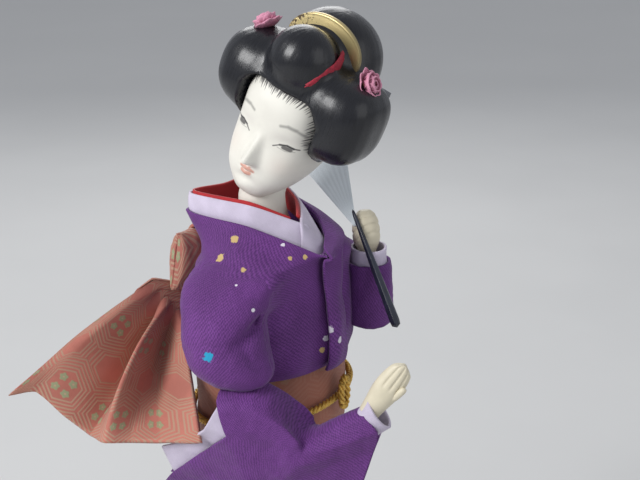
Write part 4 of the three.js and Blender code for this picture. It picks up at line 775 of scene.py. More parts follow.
def sleeve_distance(point):
    """About how far a place is outside the right upper sleeve, level with it."""
    height = point.z - SASH_TOP
    level = clamp(height, RIGHT_UPPER[-1][0], RIGHT_UPPER[0][0])
    forward, out, half_forward, half_out = (along(column, level) for column in RIGHT_COLUMNS)
    reach = point - FOREARM_PLACE
    share = math.hypot((reach.dot(FOREARM_ALONG) - forward) / half_forward, (reach.dot(FOREARM_OUT) - out) / half_out)
    return (share - 1) * min(half_forward, half_out) + abs(height - level)


def body_distance(point):
    """About how far a place is outside the bodice's plain rings, level with it."""
    height = point.z - SASH_TOP
    level = clamp(height, BODY_COLUMNS[0][0][0], BODY_COLUMNS[0][-1][0])
    half_width, half_depth, centre_y = (along(column, level) for column in BODY_COLUMNS)
    share = math.hypot(point.x / half_width, (point.y - centre_y) / half_depth)
    return (share - 1) * min(half_width, half_depth) + abs(height - level)


def shoulder_join(point, away, other):
    """How far a place on bodice or right sleeve moves out to their common soft form, and the seam's depth there."""
    height = point.z - SASH_TOP
    spread = mix(0.8, 4.5, smooth(height, 22, 31))
    out = 0.0
    for _ in range(9):
        there = clamp(other(point + away * out), -12, 30)
        nearer = min(out, there)
        total = math.exp(-(out - nearer) / spread) + math.exp(-(there - nearer) / spread)
        out = clamp(out - 0.8 * (nearer - spread * math.log(total)), 0, 12)
    forward = (point - FOREARM_PLACE).dot(FOREARM_ALONG)
    return out, 0.8 * bell(height, along(SHOULDER_SEAM, forward), 0.8) * smooth(forward, 24, 16)


def lapel_point(u, v):
    """The left front's edge band on the bodice, tucked over the neckline behind the neck."""
    share, rise = (mix(a, b, v) for a, b in zip(between(LAPEL_INNER, u), between(LAPEL_OUTER, u)))
    point = bodice_point(share % 1.0, rise)
    tucked = smooth(v, 0.35, 0) * smooth(u, 0.52, 0.66)
    point += flat_out(point) * (1.9 + 0.4 * math.sin(math.pi * v) - 3 * tucked)
    return point + Vector((0, 0, 0.9 * tucked))


def collar_point(u, v, inset, rise, puff):
    """A collar strip from the left front end round the neck to the right front end, v up across its width."""
    foot_edge, top_edge = list(COLLAR_LAP_FOOT), [*COLLAR_LAP_TOP, *COLLAR_LEFT[1:], *COLLAR_RIGHT[2::-1]]
    for x, y, z in [*NECKLINE_LEFT[1:], *NECKLINE_RIGHT[2::-1]]:
        away = flat_out(Vector((x, y, 0))) * (0.6 if x > 0 else 2.3 if x else 2 if y > 0 else 8)
        foot_edge.append((x - away.x, y - away.y, z - 3.5))
    edges = [[*edge, (3, edge[-1][1] + 1.5, edge[-1][2] - 1.2)] for edge in (foot_edge, top_edge)]
    foot, top = (Vector(between(edge, u)) for edge in edges)
    point = foot.lerp(top, v) + flat_out(foot, (0, 3)) * (puff * math.sin(math.pi * v) - inset)
    return point + Vector((0, 0, SASH_TOP + rise * v + 0.25 * ripple(point, 12)))


def skirt_point(u, v, fold_depth):
    """The wrapped skirt: once round and over itself at the front, in folds that deepen to the hem."""
    width, depth = between(SKIRT_ROWS, v)
    flare = (1 - v) ** 2
    turn = u * (TURN + SKIRT_LAP)
    angle = SKIRT_START + turn
    over = (SKIRT_WALL + GAP) * smooth(turn, TURN - 1.2, TURN - 0.1)
    fold = fold_depth * flare * math.sin(9 * angle) + 0.9 * flare * math.sin(23 * angle + 3 * v)
    fold += 0.5 * (1 - flare) * smooth(v, 1.0, 0.8) * math.sin(14 * angle + 9 * v)
    out = SKIRT_WALL + over + fold
    point = Vector(((width + out) * math.cos(angle), (depth + out) * math.sin(angle),
                    PLINTH_TOP + GAP + v * (LEG_HEIGHT - GAP)))
    return point + flat_out(point) * 0.6 * ripple(point, 14)


def underskirt_point(u, v):
    share = v * UNDERSKIRT_RISE
    width, depth = between(SKIRT_ROWS, share)
    angle = TURN * u
    out = UNDERSKIRT_FOLD * (1 - share) ** 2 * math.sin(9 * angle) - UNDERSKIRT_GAP
    return Vector(((width + out) * math.cos(angle), (depth + out) * math.sin(angle),
                   PLINTH_TOP + GAP + share * LEG_HEIGHT))


def sash_point(u, v):
    """The sash, pressed in under the cord and wrinkled along its length."""
    angle = TURN * u - math.pi / 2
    pull = -0.5 * bell(v * 40, CORD_LEVEL, 3) + 0.35 * math.sin(TURN * v * 2.5 + 2 * math.sin(angle))
    out = SASH_SWELL * math.sin(math.pi * v) + 0.6 * pull
    return Vector(((SASH_HALF_WIDTH + out) * math.cos(angle), (SASH_HALF_DEPTH + out) * math.sin(angle),
                   mix(SASH_FOOT, SASH_TOP, v)))


def strands(path, radius, length, turns):
    """Panels of three strands laid round a closed path."""
    thin = 0.54 * radius

    def strand(number):
        def surface(u, v):
            share = v % 1.0
            ahead = (path((share + 0.002) % 1.0) - path((share - 0.002) % 1.0)).normalized()
            side = ahead.cross(Vector((0, 0, 1)) if abs(ahead.z) < 0.95 else Vector((0, 1, 0))).normalized()
            over = side.cross(ahead)
            turn = TURN * (turns * share + number / 3)
            centre = path(share) + (side * math.cos(turn) + over * math.sin(turn)) * radius * 0.5
            angle = TURN * u
            return centre + (side * math.cos(angle) + over * math.sin(angle)) * thin
        return surface
    return [(strand(number), 9, max(64, int(turns * 12)), (TURN * thin, length), True) for number in range(3)]


def wing_point(u, v, lines, side):
    """A wing of the bow: fold lines fan out from the gather beside the strap, u across the folds and v outwards."""
    rows = [(*end, *move) for end, move in lines]
    crisp = [along([(k, row[n]) for k, row in enumerate(rows)], u * (len(rows) - 1)) for n in range(6)]
    x, y, z, *shift = [mix(a, b, 0.5) for a, b in zip(between(rows, u), crisp)]
    strap, start = (Vector(first).lerp(Vector(last), u) * Vector((side, 1, 1))
                    for first, last in (BOW_STRAP_EDGE, BOW_GATHER))
    share = max(0.0, (v - BOW_GATHER_SHARE) / (1 - BOW_GATHER_SHARE))
    if share > 0:
        point = start.lerp(Vector((x, y, z)), share)
    else:
        point = strap.lerp(start, v / BOW_GATHER_SHARE)
    point = point + Vector(shift) * math.sin(0.9 * math.pi * share)
    pucker = 0.8 * bell(v, BOW_GATHER_SHARE, 0.14) * math.sin(30 * u)
    return point + Vector((0, 0.5, 1)) * (pucker + 0.5 * share * ripple(point, 15)) + Vector((0, 0, SASH_TOP))


def loop_point(u, v):
    """The bow's upright loop, gathered in the middle and creased upright at its ends."""
    across, deep, tall = between(LOOP_ENDS, v)
    angle = TURN * u
    up = (1 + tall * math.sin(angle)) / 2
    x = across * mix(LOOP_FOOT_HALF_WIDTH, LOOP_TOP_HALF_WIDTH, up)
    gather = 1 - 0.12 * bell(x, 0, 9) + 0.015 * math.sin(1.1 * x)
    return chest(x, LOOP_Y + gather * LOOP_HALF_DEPTH * deep * math.cos(angle),
                 LOOP_LEVEL + gather * LOOP_HALF_HEIGHT * tall * math.sin(angle))


def strap_point(u, v):
    """The strap round the loop and the wings."""
    angle = TURN * u
    roll = 1 - 0.05 * abs(2 * v - 1) ** 4
    reach = LOOP_HALF_HEIGHT + STRAP_ROOM + STRAP_DROP
    return chest(mix(-STRAP_HALF_WIDTH, STRAP_HALF_WIDTH, v),
                 LOOP_Y + (LOOP_HALF_DEPTH + STRAP_ROOM) * roll * math.cos(angle),
                 LOOP_LEVEL - STRAP_DROP + reach * roll * math.sin(angle))


def upper_sleeve_point(u, v):
    """The right sleeve's full upper part."""
    height, forward, out, half_forward, half_out = between(RIGHT_UPPER, 1 - v)
    angle = TURN * u
    point = arm_spot(forward + half_forward * math.cos(angle), out + half_out * math.sin(angle), height)
    if height > 14:
        away = FOREARM_ALONG * math.cos(angle) + FOREARM_OUT * math.sin(angle)
        joined, seam = shoulder_join(point, away, body_distance)
        shown = smooth(body_distance(point), -4, -1) * smooth(height, 14, 24)
        point += away * (joined * shown - seam)
    return point


def right_bag_point(u, v, inset=0.0, lining=False):
    """The hanging bag of the right sleeve: v from the outer wall's foot over the forearm to the inner wall's foot."""
    outer = v < 0.5
    depth = abs(2 * v - 1)
    middle = mix(BAG_REAR, BAG_FRONT, u)
    top = along(RIGHT_RIDGE, middle) - inset
    if lining:
        top -= 3.5 * smooth(u, 0.03, 0.15) * smooth(u, 0.97, 0.85)
    height = mix(top, BAG_FOOT + inset + 1.2 * math.sin(5 * u), depth)
    rear = along(LINING_REAR if lining else SLEEVE_REAR, height)
    if lining and not outer:
        rear += 14 * smooth(depth, 0.05, 0.3)
    edged = mix(rear, along(CUFF_EDGE, height), u)
    forward = mix(middle, edged, smooth(depth, 0, 0.12)) - (1.5 * smooth(u, 0.85, 1) if lining else 0)
    full = (mix(12.4, 8.4, u) - inset) * along(BAG_WIDTH, depth)
    half = mix(full, (6 - inset) * along(CUFF_WIDTH, depth), smooth(u, 0.55, 1))
    sway = smooth(depth, 0.2, 0.9) * (1.5 * math.sin(2.2 * math.pi * u) + 0.9 * math.sin(5.2 * math.pi * u + 2 * depth))
    turned = max(0.0, along(BAG_CREASE, height) - forward) * smooth(height, -8, -18)
    return arm_spot(forward, (half if outer else -half) + sway - 0.3 * turned, height)


def cuff_point(u, v):
    """The pale cuff round the right wrist, v from inside the sleeve to its edge."""
    angle = TURN * u
    middle = Vector((mix(50.5, 56.6, v), 0.3, mix(-5.2, 1.7, v)))
    chord = Vector((mix(0.5, 0.6, v), 0, mix(-0.87, -0.8, v)))
    place = middle + chord * mix(5.1, 6.7, v) * math.cos(angle)
    return arm_spot(place.x, place.y + mix(4.6, 4.9, v) * math.sin(angle), place.z)


def tube(rings):
    """A soft sleeve through level rings of height, x, y and radius, listed from the top."""
    def surface(u, v):
        height, x, y, radius = between(rings, 1 - v)
        angle = TURN * u
        return chest(x + radius * math.cos(angle), y + radius * math.sin(angle), height)
    return surface


def left_bag_point(u, v):
    """The short bag that hangs behind the raised left forearm."""
    depth = abs(2 * v - 1)
    forward = (LEFT_BAG_FRONT - LEFT_BAG_REAR).normalized()
    side = Vector((forward.y, -forward.x, 0))
    half = 6.5 * along(BAG_WIDTH, depth)
    place = LEFT_BAG_REAR.lerp(LEFT_BAG_FRONT, u) - forward * 4 * (1 - u) * smooth(depth, 0, 1)
    place = place + side * ((half if v < 0.5 else -half) + smooth(depth, 0.2, 0.9) * 1.2 * math.sin(7 * u))
    return place + Vector((0, 0, SASH_TOP + mix(mix(23, 24, u), LEFT_BAG_FOOT, depth)))


def crumple(surface, amount, size, pinches=()):
    """The surface with small creases, moved along its own normal, and pressed-in fold lines."""
    def creased(u, v):
        point = surface(u, v)
        step = 0.004
        across = surface(min(u + step, 1), v) - surface(max(u - step, 0), v)
        up = surface(u, min(v + step, 1)) - surface(u, max(v - step, 0))
        normal = across.cross(up)
        if normal.length < 1e-9:
            return point
        normal.normalize()
        sunk = amount * ripple(point, size) + 0.4 * amount * ripple(point * 1.7, size * 0.45)
        for start, end, width, depth in pinches:
            line = end - start
            share = clamp((point - start).dot(line) / line.length_squared)
            away = (point - start - line * share).length
            sunk -= depth * bell(away, 0, width) * (1 - 0.6 * share)
        return point + normal * sunk
    return creased


# Shapes of head, hair and ornaments.

def hairline_depth(x, z):
    """How far inside the face a place is from the hairline, in millimetres; below nought in the hair."""
    across = abs(x) - (HAIRLINE_HALF_WIDTH - HAIRLINE_CORNER)
    up = z - (HAIRLINE_HEIGHT - HAIRLINE_CORNER)
    return HAIRLINE_CORNER - math.hypot(max(across, 0), max(up, 0)) - min(max(across, up), 0)


def face_relief(x, z):
    """How far the face stands out from its plain egg."""
    def pair(place, spread):
        return bell(x, place, spread) + bell(x, -place, spread)
    bridge = smooth(26.5 - z, 0, 13) * smooth(z, 10.8, 13.2)
    nose = 5.0 * bridge * bell(x, 0, 1.5 + 0.085 * max(24 - z, 0))
    nose += 0.7 * bell(z, 13.4, 1.3) * pair(2.1, 0.9) + 0.4 * bell(z, 13.6, 1.4) * bell(x, 0, 1.5)
    sockets = -1.3 * bell(z, 23.2, 3.2) * pair(9, 5)
    lids = 0.85 * bell(z, 22.6, 1.7) * pair(9.6, 3.8)
    slits = -0.3 * bell(z, 23.3, 0.45) * pair(9.8, 3.6)
    lips = 1.1 * bell(z, 10, 0.9) * bell(x, 0, 2.6) + 1.2 * bell(z, 8.2, 1.0) * bell(x, 0, 2.1)
    parting = -0.5 * bell(z, 9.25, 0.4) * bell(x, 0, 2.8)
    chin = 1.2 * bell(z, 2.2, 2.4) * bell(x, 0, 4) - 0.5 * bell(z, 5.6, 1.3) * bell(x, 0, 4)
    return nose + sockets + lids + slits + lips + parting + chin


def head_point(angle, share):
    """The head: an egg with squared sides that carries the face on its front."""
    z, half_width, front, back = between(HEAD_ROWS, share)
    middle = mix(front, back, 0.52)
    if share <= 0 or share >= 1:
        return HEAD_FRAME @ Vector((0, middle, z))
    c, s = math.cos(angle), math.sin(angle)
    x = power(c, HEAD_SQUARE) * half_width
    reach = middle - front if s < 0 else back - middle
    standing = face_relief(x, z) * s if s < 0 else 0
    return HEAD_FRAME @ Vector((x, middle + power(s, HEAD_SQUARE) * reach + standing, z))


def neck_point(u, v):
    """The neck from the end of the peg's bore, over its foot and up into the head."""
    bore, foot, seat = 3.4, 11.4, 0.12
    if v < seat:
        rise, radius = mix(20, 0, v / seat), bore
    elif v < 2 * seat:
        rise, radius = 0, mix(bore, foot, (v - seat) / seat)
    else:
        rise = 30 * (v - 2 * seat) / (1 - 2 * seat)
        radius = 8.8 * (0.98 + 0.32 * max(0, 1 - rise / 13) ** 2)
    angle = TURN * u
    slide = 0.35 * max(rise - 13, 0)
    return chest(0.5 + slide + radius * math.cos(angle), 4.5 + radius * math.sin(angle), 46 + GAP + rise)


def lobe_distance(point, lobe):
    """About how far a place in the head's frame is outside a lobe of hair."""
    centre, half, square = lobe
    total = sum(abs((point[k] - centre[k]) / half[k]) ** (2 / square) for k in range(3))
    return (total ** (square / 2) - 1) * (half[0] + half[1] + half[2]) / 3


def join_lobes(point, own):
    """Moves a place on a lobe out to a soft join with the lobes beside it, unless it is well inside one of them."""
    nearest = min(lobe_distance(point, lobe) for name, lobe in HAIR_LOBES.items() if name != own)
    shown = smooth(nearest, -3.4, -0.8)
    if nearest > 5 or shown <= 0:
        return point
    away = (point - Vector(HAIR_LOBES[own][0])).normalized()
    spread = 1.5
    out = 0.0
    for _ in range(5):
        place = point + away * out
        total = sum(math.exp(clamp(-lobe_distance(place, lobe) / spread, -30, 30)) for lobe in HAIR_LOBES.values())
        out = clamp(out + spread * math.log(total), 0, 6)
    return point + away * out * shown


def lobe_shape(own):
    """A lobe of hair with combed grooves, joined to the others, flat at the nape and open for the face."""
    centre, half, square = HAIR_LOBES[own]

    def surface(angle, share):
        tilt = math.pi * (share - 0.5)
        ring = max(0, math.cos(tilt)) ** square
        local = Vector((centre[0] + half[0] * ring * power(math.cos(angle), square),
                        centre[1] + half[1] * ring * power(math.sin(angle), square),
                        centre[2] + half[2] * power(math.sin(tilt), square)))
        groove = 0.14 * ripple((6 * math.cos(angle), 6 * math.sin(angle), share), 1)
        local = join_lobes(local, own)
        local += (local - Vector(centre)).normalized() * groove * ring
        if local.z < HAIR_FOOT:
            local.z = HAIR_FOOT + (local.z - HAIR_FOOT) * 0.05
        if local.y < -4:
            local.y = mix(local.y, 4, smooth(hairline_depth(local.x, local.z), -0.7, 0.9))
        return HEAD_FRAME @ local
    return surface


def ribbon_point(u, v):
    """The puckered ribbon along its path round the front lock."""
    centre = Vector(between(RIBBON_PATH, v))
    ahead = Vector(between(RIBBON_PATH, v + 0.01)) - Vector(between(RIBBON_PATH, v - 0.01))
    out = (centre - Vector(HAIR_LOBES["hair_front_lock"][0])).normalized()
    over = out.cross(ahead.normalized())
    angle = TURN * u
    pucker = 1 + 0.16 * ripple((9 * v, 3 * math.sin(angle), 3 * math.cos(angle)), 0.4)
    return HEAD_FRAME @ (centre + out * RIBBON_HALF_WALL * math.cos(angle) * pucker
                         + over * RIBBON_HALF_WIDTH * math.sin(angle) * pucker)


def comb_point(u, v):
    """The crescent comb with a raised rim, u from its right end to its left and v round its section."""
    angle = math.pi * (1 - u)
    turn = TURN * v
    bow = max(0.0, math.sin(angle))
    low, high = COMB_BASE - COMB_DROP * bow ** 0.3, COMB_BASE + COMB_RISE * math.sin(angle)
    thick = COMB_WALL / 2 * (0.55 + 0.45 * bow ** 0.5)
    rim = 1 + 0.16 * bell(math.sin(turn), 0.86, 0.1)
    up, out = power(math.sin(turn), 0.35), power(math.cos(turn), 0.35)
    return HEAD_FRAME @ Vector((COMB_HALF_WIDTH * math.cos(angle), COMB_Y + thick * out * rim,
                                (low + high) / 2 + (high - low) / 2 * up))


def petals(spot):
    """Panels of a rose's petals, in rings that stand up more towards its heart."""
    def petal(turned, count, reach, lift, upright):
        def surface(u, v):
            side = 2 * u - 1
            wide = 1.2 * math.pi * reach / count * math.sin(math.pi * min(1, 0.12 + 0.72 * v)) ** 0.6
            length = reach * v * (1 - 0.3 * v * v * side ** 2)
            return turned @ Vector((0.4 + length * math.cos(upright * v), side * wide,
                                    lift + length * math.sin(upright * v) + 0.5 * side ** 2 * v))
        return surface
    made = []
    for ring, (count, *shape) in enumerate(PETAL_RINGS):
        for k in range(count):
            turned = spot @ Matrix.Rotation(TURN * (k + 0.5 * (ring % 2)) / count, 4, "Z")
            made.append((petal(turned, count, *shape), 8, 8, (6, 6)))
    return made


def pin_shape(spot):
    """A flower's pin with the cup under its petals."""
    def surface(angle, share):
        radius = PIN_RADIUS * smooth(share, 0, 0.1)
        if share > PIN_CUP_START:
            cup = (share - PIN_CUP_START) / (1 - PIN_CUP_START)
            radius = PIN_CUP_RADIUS * math.sqrt(max(0.0, 1 - cup ** 2))
        return spot @ Vector((radius * math.cos(angle), radius * math.sin(angle), mix(PIN_FOOT, PIN_TOP, share)))
    return surface


# Sizes and colours that a user may change.

class DollSizes(bpy.types.PropertyGroup):
    kimono_wall: bpy.props.FloatProperty(
        name="Kimono wall", description="Thickness of the kimono cloth", default=0.0012, unit="LENGTH")
    lining_wall: bpy.props.FloatProperty(
        name="Lining wall", description="Thickness of collars and linings", default=0.0009, unit="LENGTH")
    brocade_wall: bpy.props.FloatProperty(
        name="Brocade wall", description="Thickness of the sash cloth", default=0.0014, unit="LENGTH")
    thread_pitch: bpy.props.FloatProperty(
        name="Thread pitch", description="Spacing of the crepe's twill threads", default=0.0008, unit="LENGTH")
    hexagon_pitch: bpy.props.FloatProperty(
        name="Hexagon pitch", description="Width of one hexagon of the brocade", default=0.023, unit="LENGTH")
    skirt_fold: bpy.props.FloatProperty(
        name="Skirt fold", description="Depth of the skirt's folds at the hem", default=0.0024, unit="LENGTH")
    cord_radius: bpy.props.FloatProperty(
        name="Cord radius", description="Radius of the gold cord", default=0.0014, unit="LENGTH")


def colour_property(label, words, value):
    return bpy.props.FloatVectorProperty(name=label, description=words, default=value, subtype="COLOR", min=0, max=1)


class DollColours(bpy.types.PropertyGroup):
    kimono: colour_property("Kimono", "Dye of the crepe kimono", (0.175, 0.05, 0.25))
    collar: colour_property("Collar", "Pale under-collar and linings", (0.62, 0.56, 0.68))
    lining: colour_property("Lining", "Red collar and underskirt", (0.48, 0.03, 0.035))
    brocade_ground: colour_property("Brocade ground", "Coral ground of the bow", (0.5, 0.17, 0.125))
    brocade_ring: colour_property("Brocade rings", "Tan hexagon rings of the bow", (0.47, 0.3, 0.2))
    brocade_blossom: colour_property("Brocade blossoms", "Green blossoms of the bow", (0.29, 0.37, 0.2))
    sash: colour_property("Sash", "Russet of the sash's plain face", (0.33, 0.12, 0.075))
    cord: colour_property("Cord", "Gold thread of the cord", (0.8, 0.52, 0.12))
    face: colour_property("Face", "White of the face and neck", (0.74, 0.72, 0.65))
    hand: colour_property("Hand", "Cream of the hands", (0.66, 0.6, 0.45))
    lips: colour_property("Lips", "Coral of the lips", (0.6, 0.26, 0.19))
    ink: colour_property("Ink", "Brushed lines of the face", (0.045, 0.042, 0.045))
    hair: colour_property("Hair", "Black of the hair", (0.006, 0.0065, 0.0095))
    gilt: colour_property("Gilt", "Gold of the comb and the pins", (0.62, 0.5, 0.24))
    flower: colour_property("Flower", "Pink of the hair flowers", (0.5, 0.075, 0.2))
    flower_rim: colour_property("Flower rim", "Pale rims of the petals", (0.72, 0.33, 0.45))
    fan_leaf: colour_property("Fan leaf", "Paper of the fan", (0.82, 0.89, 0.92))
    fan_stick: colour_property("Fan stick", "Dark lacquer of the fan's handle and the hair bar", (0.016, 0.019, 0.032))
    lacquer: colour_property("Lacquer", "Black lacquer of the plinth", (0.02, 0.014, 0.012))
    floor: colour_property("Floor", "Pale floor", (0.62, 0.62, 0.61))


# Operators: each makes one piece of the doll or a group of like pieces.

class DOLL_OT_plinth(bpy.types.Operator):
    """Lacquered plinth, and finishes for its screw, the post, the neck's peg and the arms' wires"""
    bl_idname = "doll.plinth"
    bl_label = "Plinth and inner frame"

    def execute(self, context):
        low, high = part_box("base_plinth")
        bm = bmesh.new()
        bmesh.ops.create_cube(bm, size=1)
        bmesh.ops.scale(bm, vec=high - low, verts=bm.verts)
        bmesh.ops.translate(bm, vec=(low + high) / 2, verts=bm.verts)
        for level, offset, segments in ((False, PLINTH_CORNER, 8), (True, PLINTH_EDGE, 4)):
            edges = [edge for edge in bm.edges if level == (abs(edge.verts[0].co.z - edge.verts[1].co.z) < 1e-6)]
            bmesh.ops.bevel(bm, geom=edges, offset=offset * MM, offset_type="OFFSET", affect="EDGES",
                            segments=segments, profile=0.5, material=-1)
        lacquer = grained("black_lacquer", context.scene.doll_colours.lacquer, 18.0, 0.2, 0.3, coat=0.5, depth=0.04)
        put("plinth_board", bm, lacquer, "figure", ["base_plinth"], sharp=40)
        steel = grained("dull_steel", (0.5, 0.5, 0.49), 400.0, 0.36, 0.12, metallic=1.0, depth=0.02)
        wood = grained("pale_wood", (0.42, 0.29, 0.15), 60.0, 0.6, 0.3, stretch=(6, 6, 0.5))
        paper = grained("wrapped_wire", (0.55, 0.5, 0.4), 300.0, 0.8, 0.2)
        for node, material in (("base_screw", steel), ("support_post", wood), ("neck_peg", wood),
                               ("arm_wire_right", paper), ("arm_wire_left", paper)):
            cover(node, material)
        return {"FINISHED"}


class DOLL_OT_body(bpy.types.Operator):
    """Stuffed body and socked feet under the clothes"""
    bl_idname = "doll.body"
    bl_label = "Body and feet"

    def execute(self, context):
        calico = grained("calico_stuffing", (0.5, 0.43, 0.31), 240.0, 0.9, 0.2, depth=0.2)
        low, high = (1000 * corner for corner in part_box("skirt_former"))
        half = (high - low) / 2

        def rounded(share):
            """The share of the way up the side, and the width that the rounded ends leave there."""
            return clamp((share - 0.1) / 0.8), smooth(share, 0, 0.1) * smooth(share, 1, 0.9)

        def torso(angle, share):
            up, rim = rounded(share)
            z, width, depth, y = between(TORSO_ROWS, up)
            return Vector((width * rim * math.cos(angle), y + depth * rim * math.sin(angle), z))

        def former(angle, share):
            up, rim = rounded(share)
            rim *= along(FORMER_WIDTH, up)
            return Vector((half.x * rim * math.cos(angle), half.y * rim * math.sin(angle), mix(low.z, high.z, up)))

        stuffed = moulded("stuffed_torso", ["torso_form"], calico, "figure", "straw", (torso, 48, 40, 86))
        stuffed = moulded("stuffed_skirt_form", ["skirt_former"], calico, "figure", "straw", (former, 48, 40, 160))
        sock = grained("white_sock", (0.72, 0.71, 0.68), 500.0, 0.85, 0.08, depth=0.1)
        for node in ("foot_right", "foot_left"):
            cover(node, sock)
        return {"FINISHED"}


class DOLL_OT_skirts(bpy.types.Operator):
    """Wrapped purple skirt over a red underskirt"""
    bl_idname = "doll.skirts"
    bl_label = "Skirts"

    def execute(self, context):
        sizes = context.scene.doll_sizes
        fold = sizes.skirt_fold / MM
        skirt = cloth("skirt_cloth", ["kimono_skirt"], purple(), "purple", sizes.kimono_wall,
                      (lambda u, v: skirt_point(u, v, fold), 220, 90, (300, 194)))
        hidden = cloth("underskirt_cloth", ["underskirt"], red(), "red", sizes.lining_wall,
                       (underskirt_point, 160, 40, (260, 84), True))
        return {"FINISHED"}


class DOLL_OT_sash(bpy.types.Operator):
    """Brocade sash with the twisted gold cord tied round it"""
    bl_idname = "doll.sash"
    bl_label = "Sash and cord"

    def execute(self, context):
        sizes, colours = context.scene.doll_sizes, context.scene.doll_colours
        sash = cloth("sash_cloth", ["obi_band"], sash_silk("sash_silk", colours.sash, 0.12), "brocade",
                     sizes.brocade_wall, (sash_point, 160, 40, (177, 40), True))
        gold = gold_thread(colours)
        radius = sizes.cord_radius / MM
        out = radius + GAP + SASH_SWELL
        far = 3 * radius + 2 * GAP + SASH_SWELL
        front = -(SASH_HALF_DEPTH + far) * math.sqrt(1 - (KNOT_X / (SASH_HALF_WIDTH + far)) ** 2)

        def round_sash(share):
            angle = TURN * share
            x, y = (SASH_HALF_WIDTH + out) * math.cos(angle), (SASH_HALF_DEPTH + out) * math.sin(angle)
            return Vector((x, y, SASH_FOOT + CORD_LEVEL + CORD_TILT * (x - y) / SASH_HALF_WIDTH))

        def knot(share):
            angle = TURN * share
            return Vector((KNOT_X + KNOT_HALF_WIDTH * math.cos(angle), front + KNOT_TURN * math.cos(angle),
                           SASH_FOOT + KNOT_LEVEL + KNOT_HALF_HEIGHT * math.sin(angle)))

        cloth("cord_round_sash", ["obi_cord"], gold, "gold_cord", 0.0, *strands(round_sash, radius, 190, 34),
              turned=True)
        cloth("cord_knot", ["obi_cord_knot"], gold, "gold_cord", 0.0, *strands(knot, radius, 28, 5), turned=True)
        return {"FINISHED"}


class DOLL_OT_bow(bpy.types.Operator):
    """Brocade bow at the back: two pleated wings, the upright loop and the strap round them"""
    bl_idname = "doll.bow"
    bl_label = "Bow"

    def execute(self, context):
        wall = context.scene.doll_sizes.brocade_wall
        figured = sash_silk("brocade_silk", context.scene.doll_colours.brocade_ground, 0.85)
        for name, node, lines, side, flat, cut in (
                ("wing_cloth_right", "bow_wing_right", WING_RIGHT, 1, (0.085, 0.07), 0.0042),
                ("wing_cloth_left", "bow_wing_left", WING_LEFT, -1, (0.07, 0.07), 0.0034)):
            wing = cloth(name, [node], figured, "brocade", wall,
                         (lambda u, v: wing_point(u, v, lines, side), 150, 80, (110, 90)), offset=0)
        upper = cloth("bow_loop_cloth", ["bow_upper_loop"], figured, "brocade", wall,
                      (crumple(loop_point, 0.5, 8), 80, 60, (55, 38)))
        tie = cloth("bow_strap_cloth", ["bow_strap"], figured, "brocade", wall,
                    (crumple(strap_point, 0.25, 6), 80, 24, (88, 16)))
        return {"FINISHED"}


class DOLL_OT_bodice(bpy.types.Operator):
    """Purple bodice with its lapel, and the pale and red collars at the neck"""
    bl_idname = "doll.bodice"
    bl_label = "Bodice and collars"

    def execute(self, context):
        sizes = context.scene.doll_sizes
        bodice = cloth("bodice_cloth", ["kimono_bodice"], purple(), "purple", sizes.kimono_wall,
                       (bodice_point, 200, 80, (190, 55), True))
        edge = cloth("lapel_cloth", ["kimono_lapel"], purple(), "purple", sizes.kimono_wall,
                     (lapel_point, 140, 14, (100, 8)))
        white = cloth("pale_collar", ["collar_white"], pale(), "white", sizes.lining_wall,
                      (lambda u, v: collar_point(u, v, 0, 0, 0.8), 180, 16, (150, 12)))
        inner = cloth("red_collar", ["collar_red"], red(), "red", sizes.lining_wall,
                      (lambda u, v: collar_point(mix(0.16, 0.84, u), v, 1.4, 0.8, 0.5), 150, 14, (110, 13)))
        return {"FINISHED"}


class DOLL_OT_sleeves(bpy.types.Operator):
    """Both sleeves of the kimono with the pale linings that show at cuff and rear edge"""
    bl_idname = "doll.sleeves"
    bl_label = "Sleeves"

    def execute(self, context):
        sizes = context.scene.doll_sizes
        folds = [(arm_spot(*start), arm_spot(*end), width, depth) for start, end, width, depth in UPPER_FOLDS]
        right = cloth("sleeve_cloth_right", ["sleeve_right"], purple(), "purple", sizes.kimono_wall,
                      (crumple(upper_sleeve_point, 0.55, 9, folds), 120, 70, (92, 50), True),
                      (crumple(right_bag_point, 0.6, 11), 110, 110, (60, 96)), turned=True)
        lining = cloth("sleeve_lining_right", ["under_sleeve_right"], pale(), "white", sizes.lining_wall,
                       (lambda u, v: right_bag_point(u, v, 2.4, True), 100, 90, (72, 94)),
                       (crumple(cuff_point, 0.2, 6), 60, 14, (34, 11), True), turned=True)
        left = cloth("sleeve_cloth_left", ["sleeve_left"], purple(), "purple", sizes.kimono_wall,
                     (crumple(tube(LEFT_PUFF), 0.5, 8), 90, 60, (70, 45), True),
                     (crumple(tube(LEFT_FOREARM), 0.5, 8), 80, 50, (57, 28), True),
                     (crumple(left_bag_point, 0.5, 9), 50, 90, (18, 100)))
        lining = cloth("sleeve_lining_left", ["under_sleeve_left"], pale(), "white", sizes.lining_wall,
                       (crumple(tube(LEFT_CUFF), 0.25, 6), 70, 30, (46, 17), True))
        return {"FINISHED"}


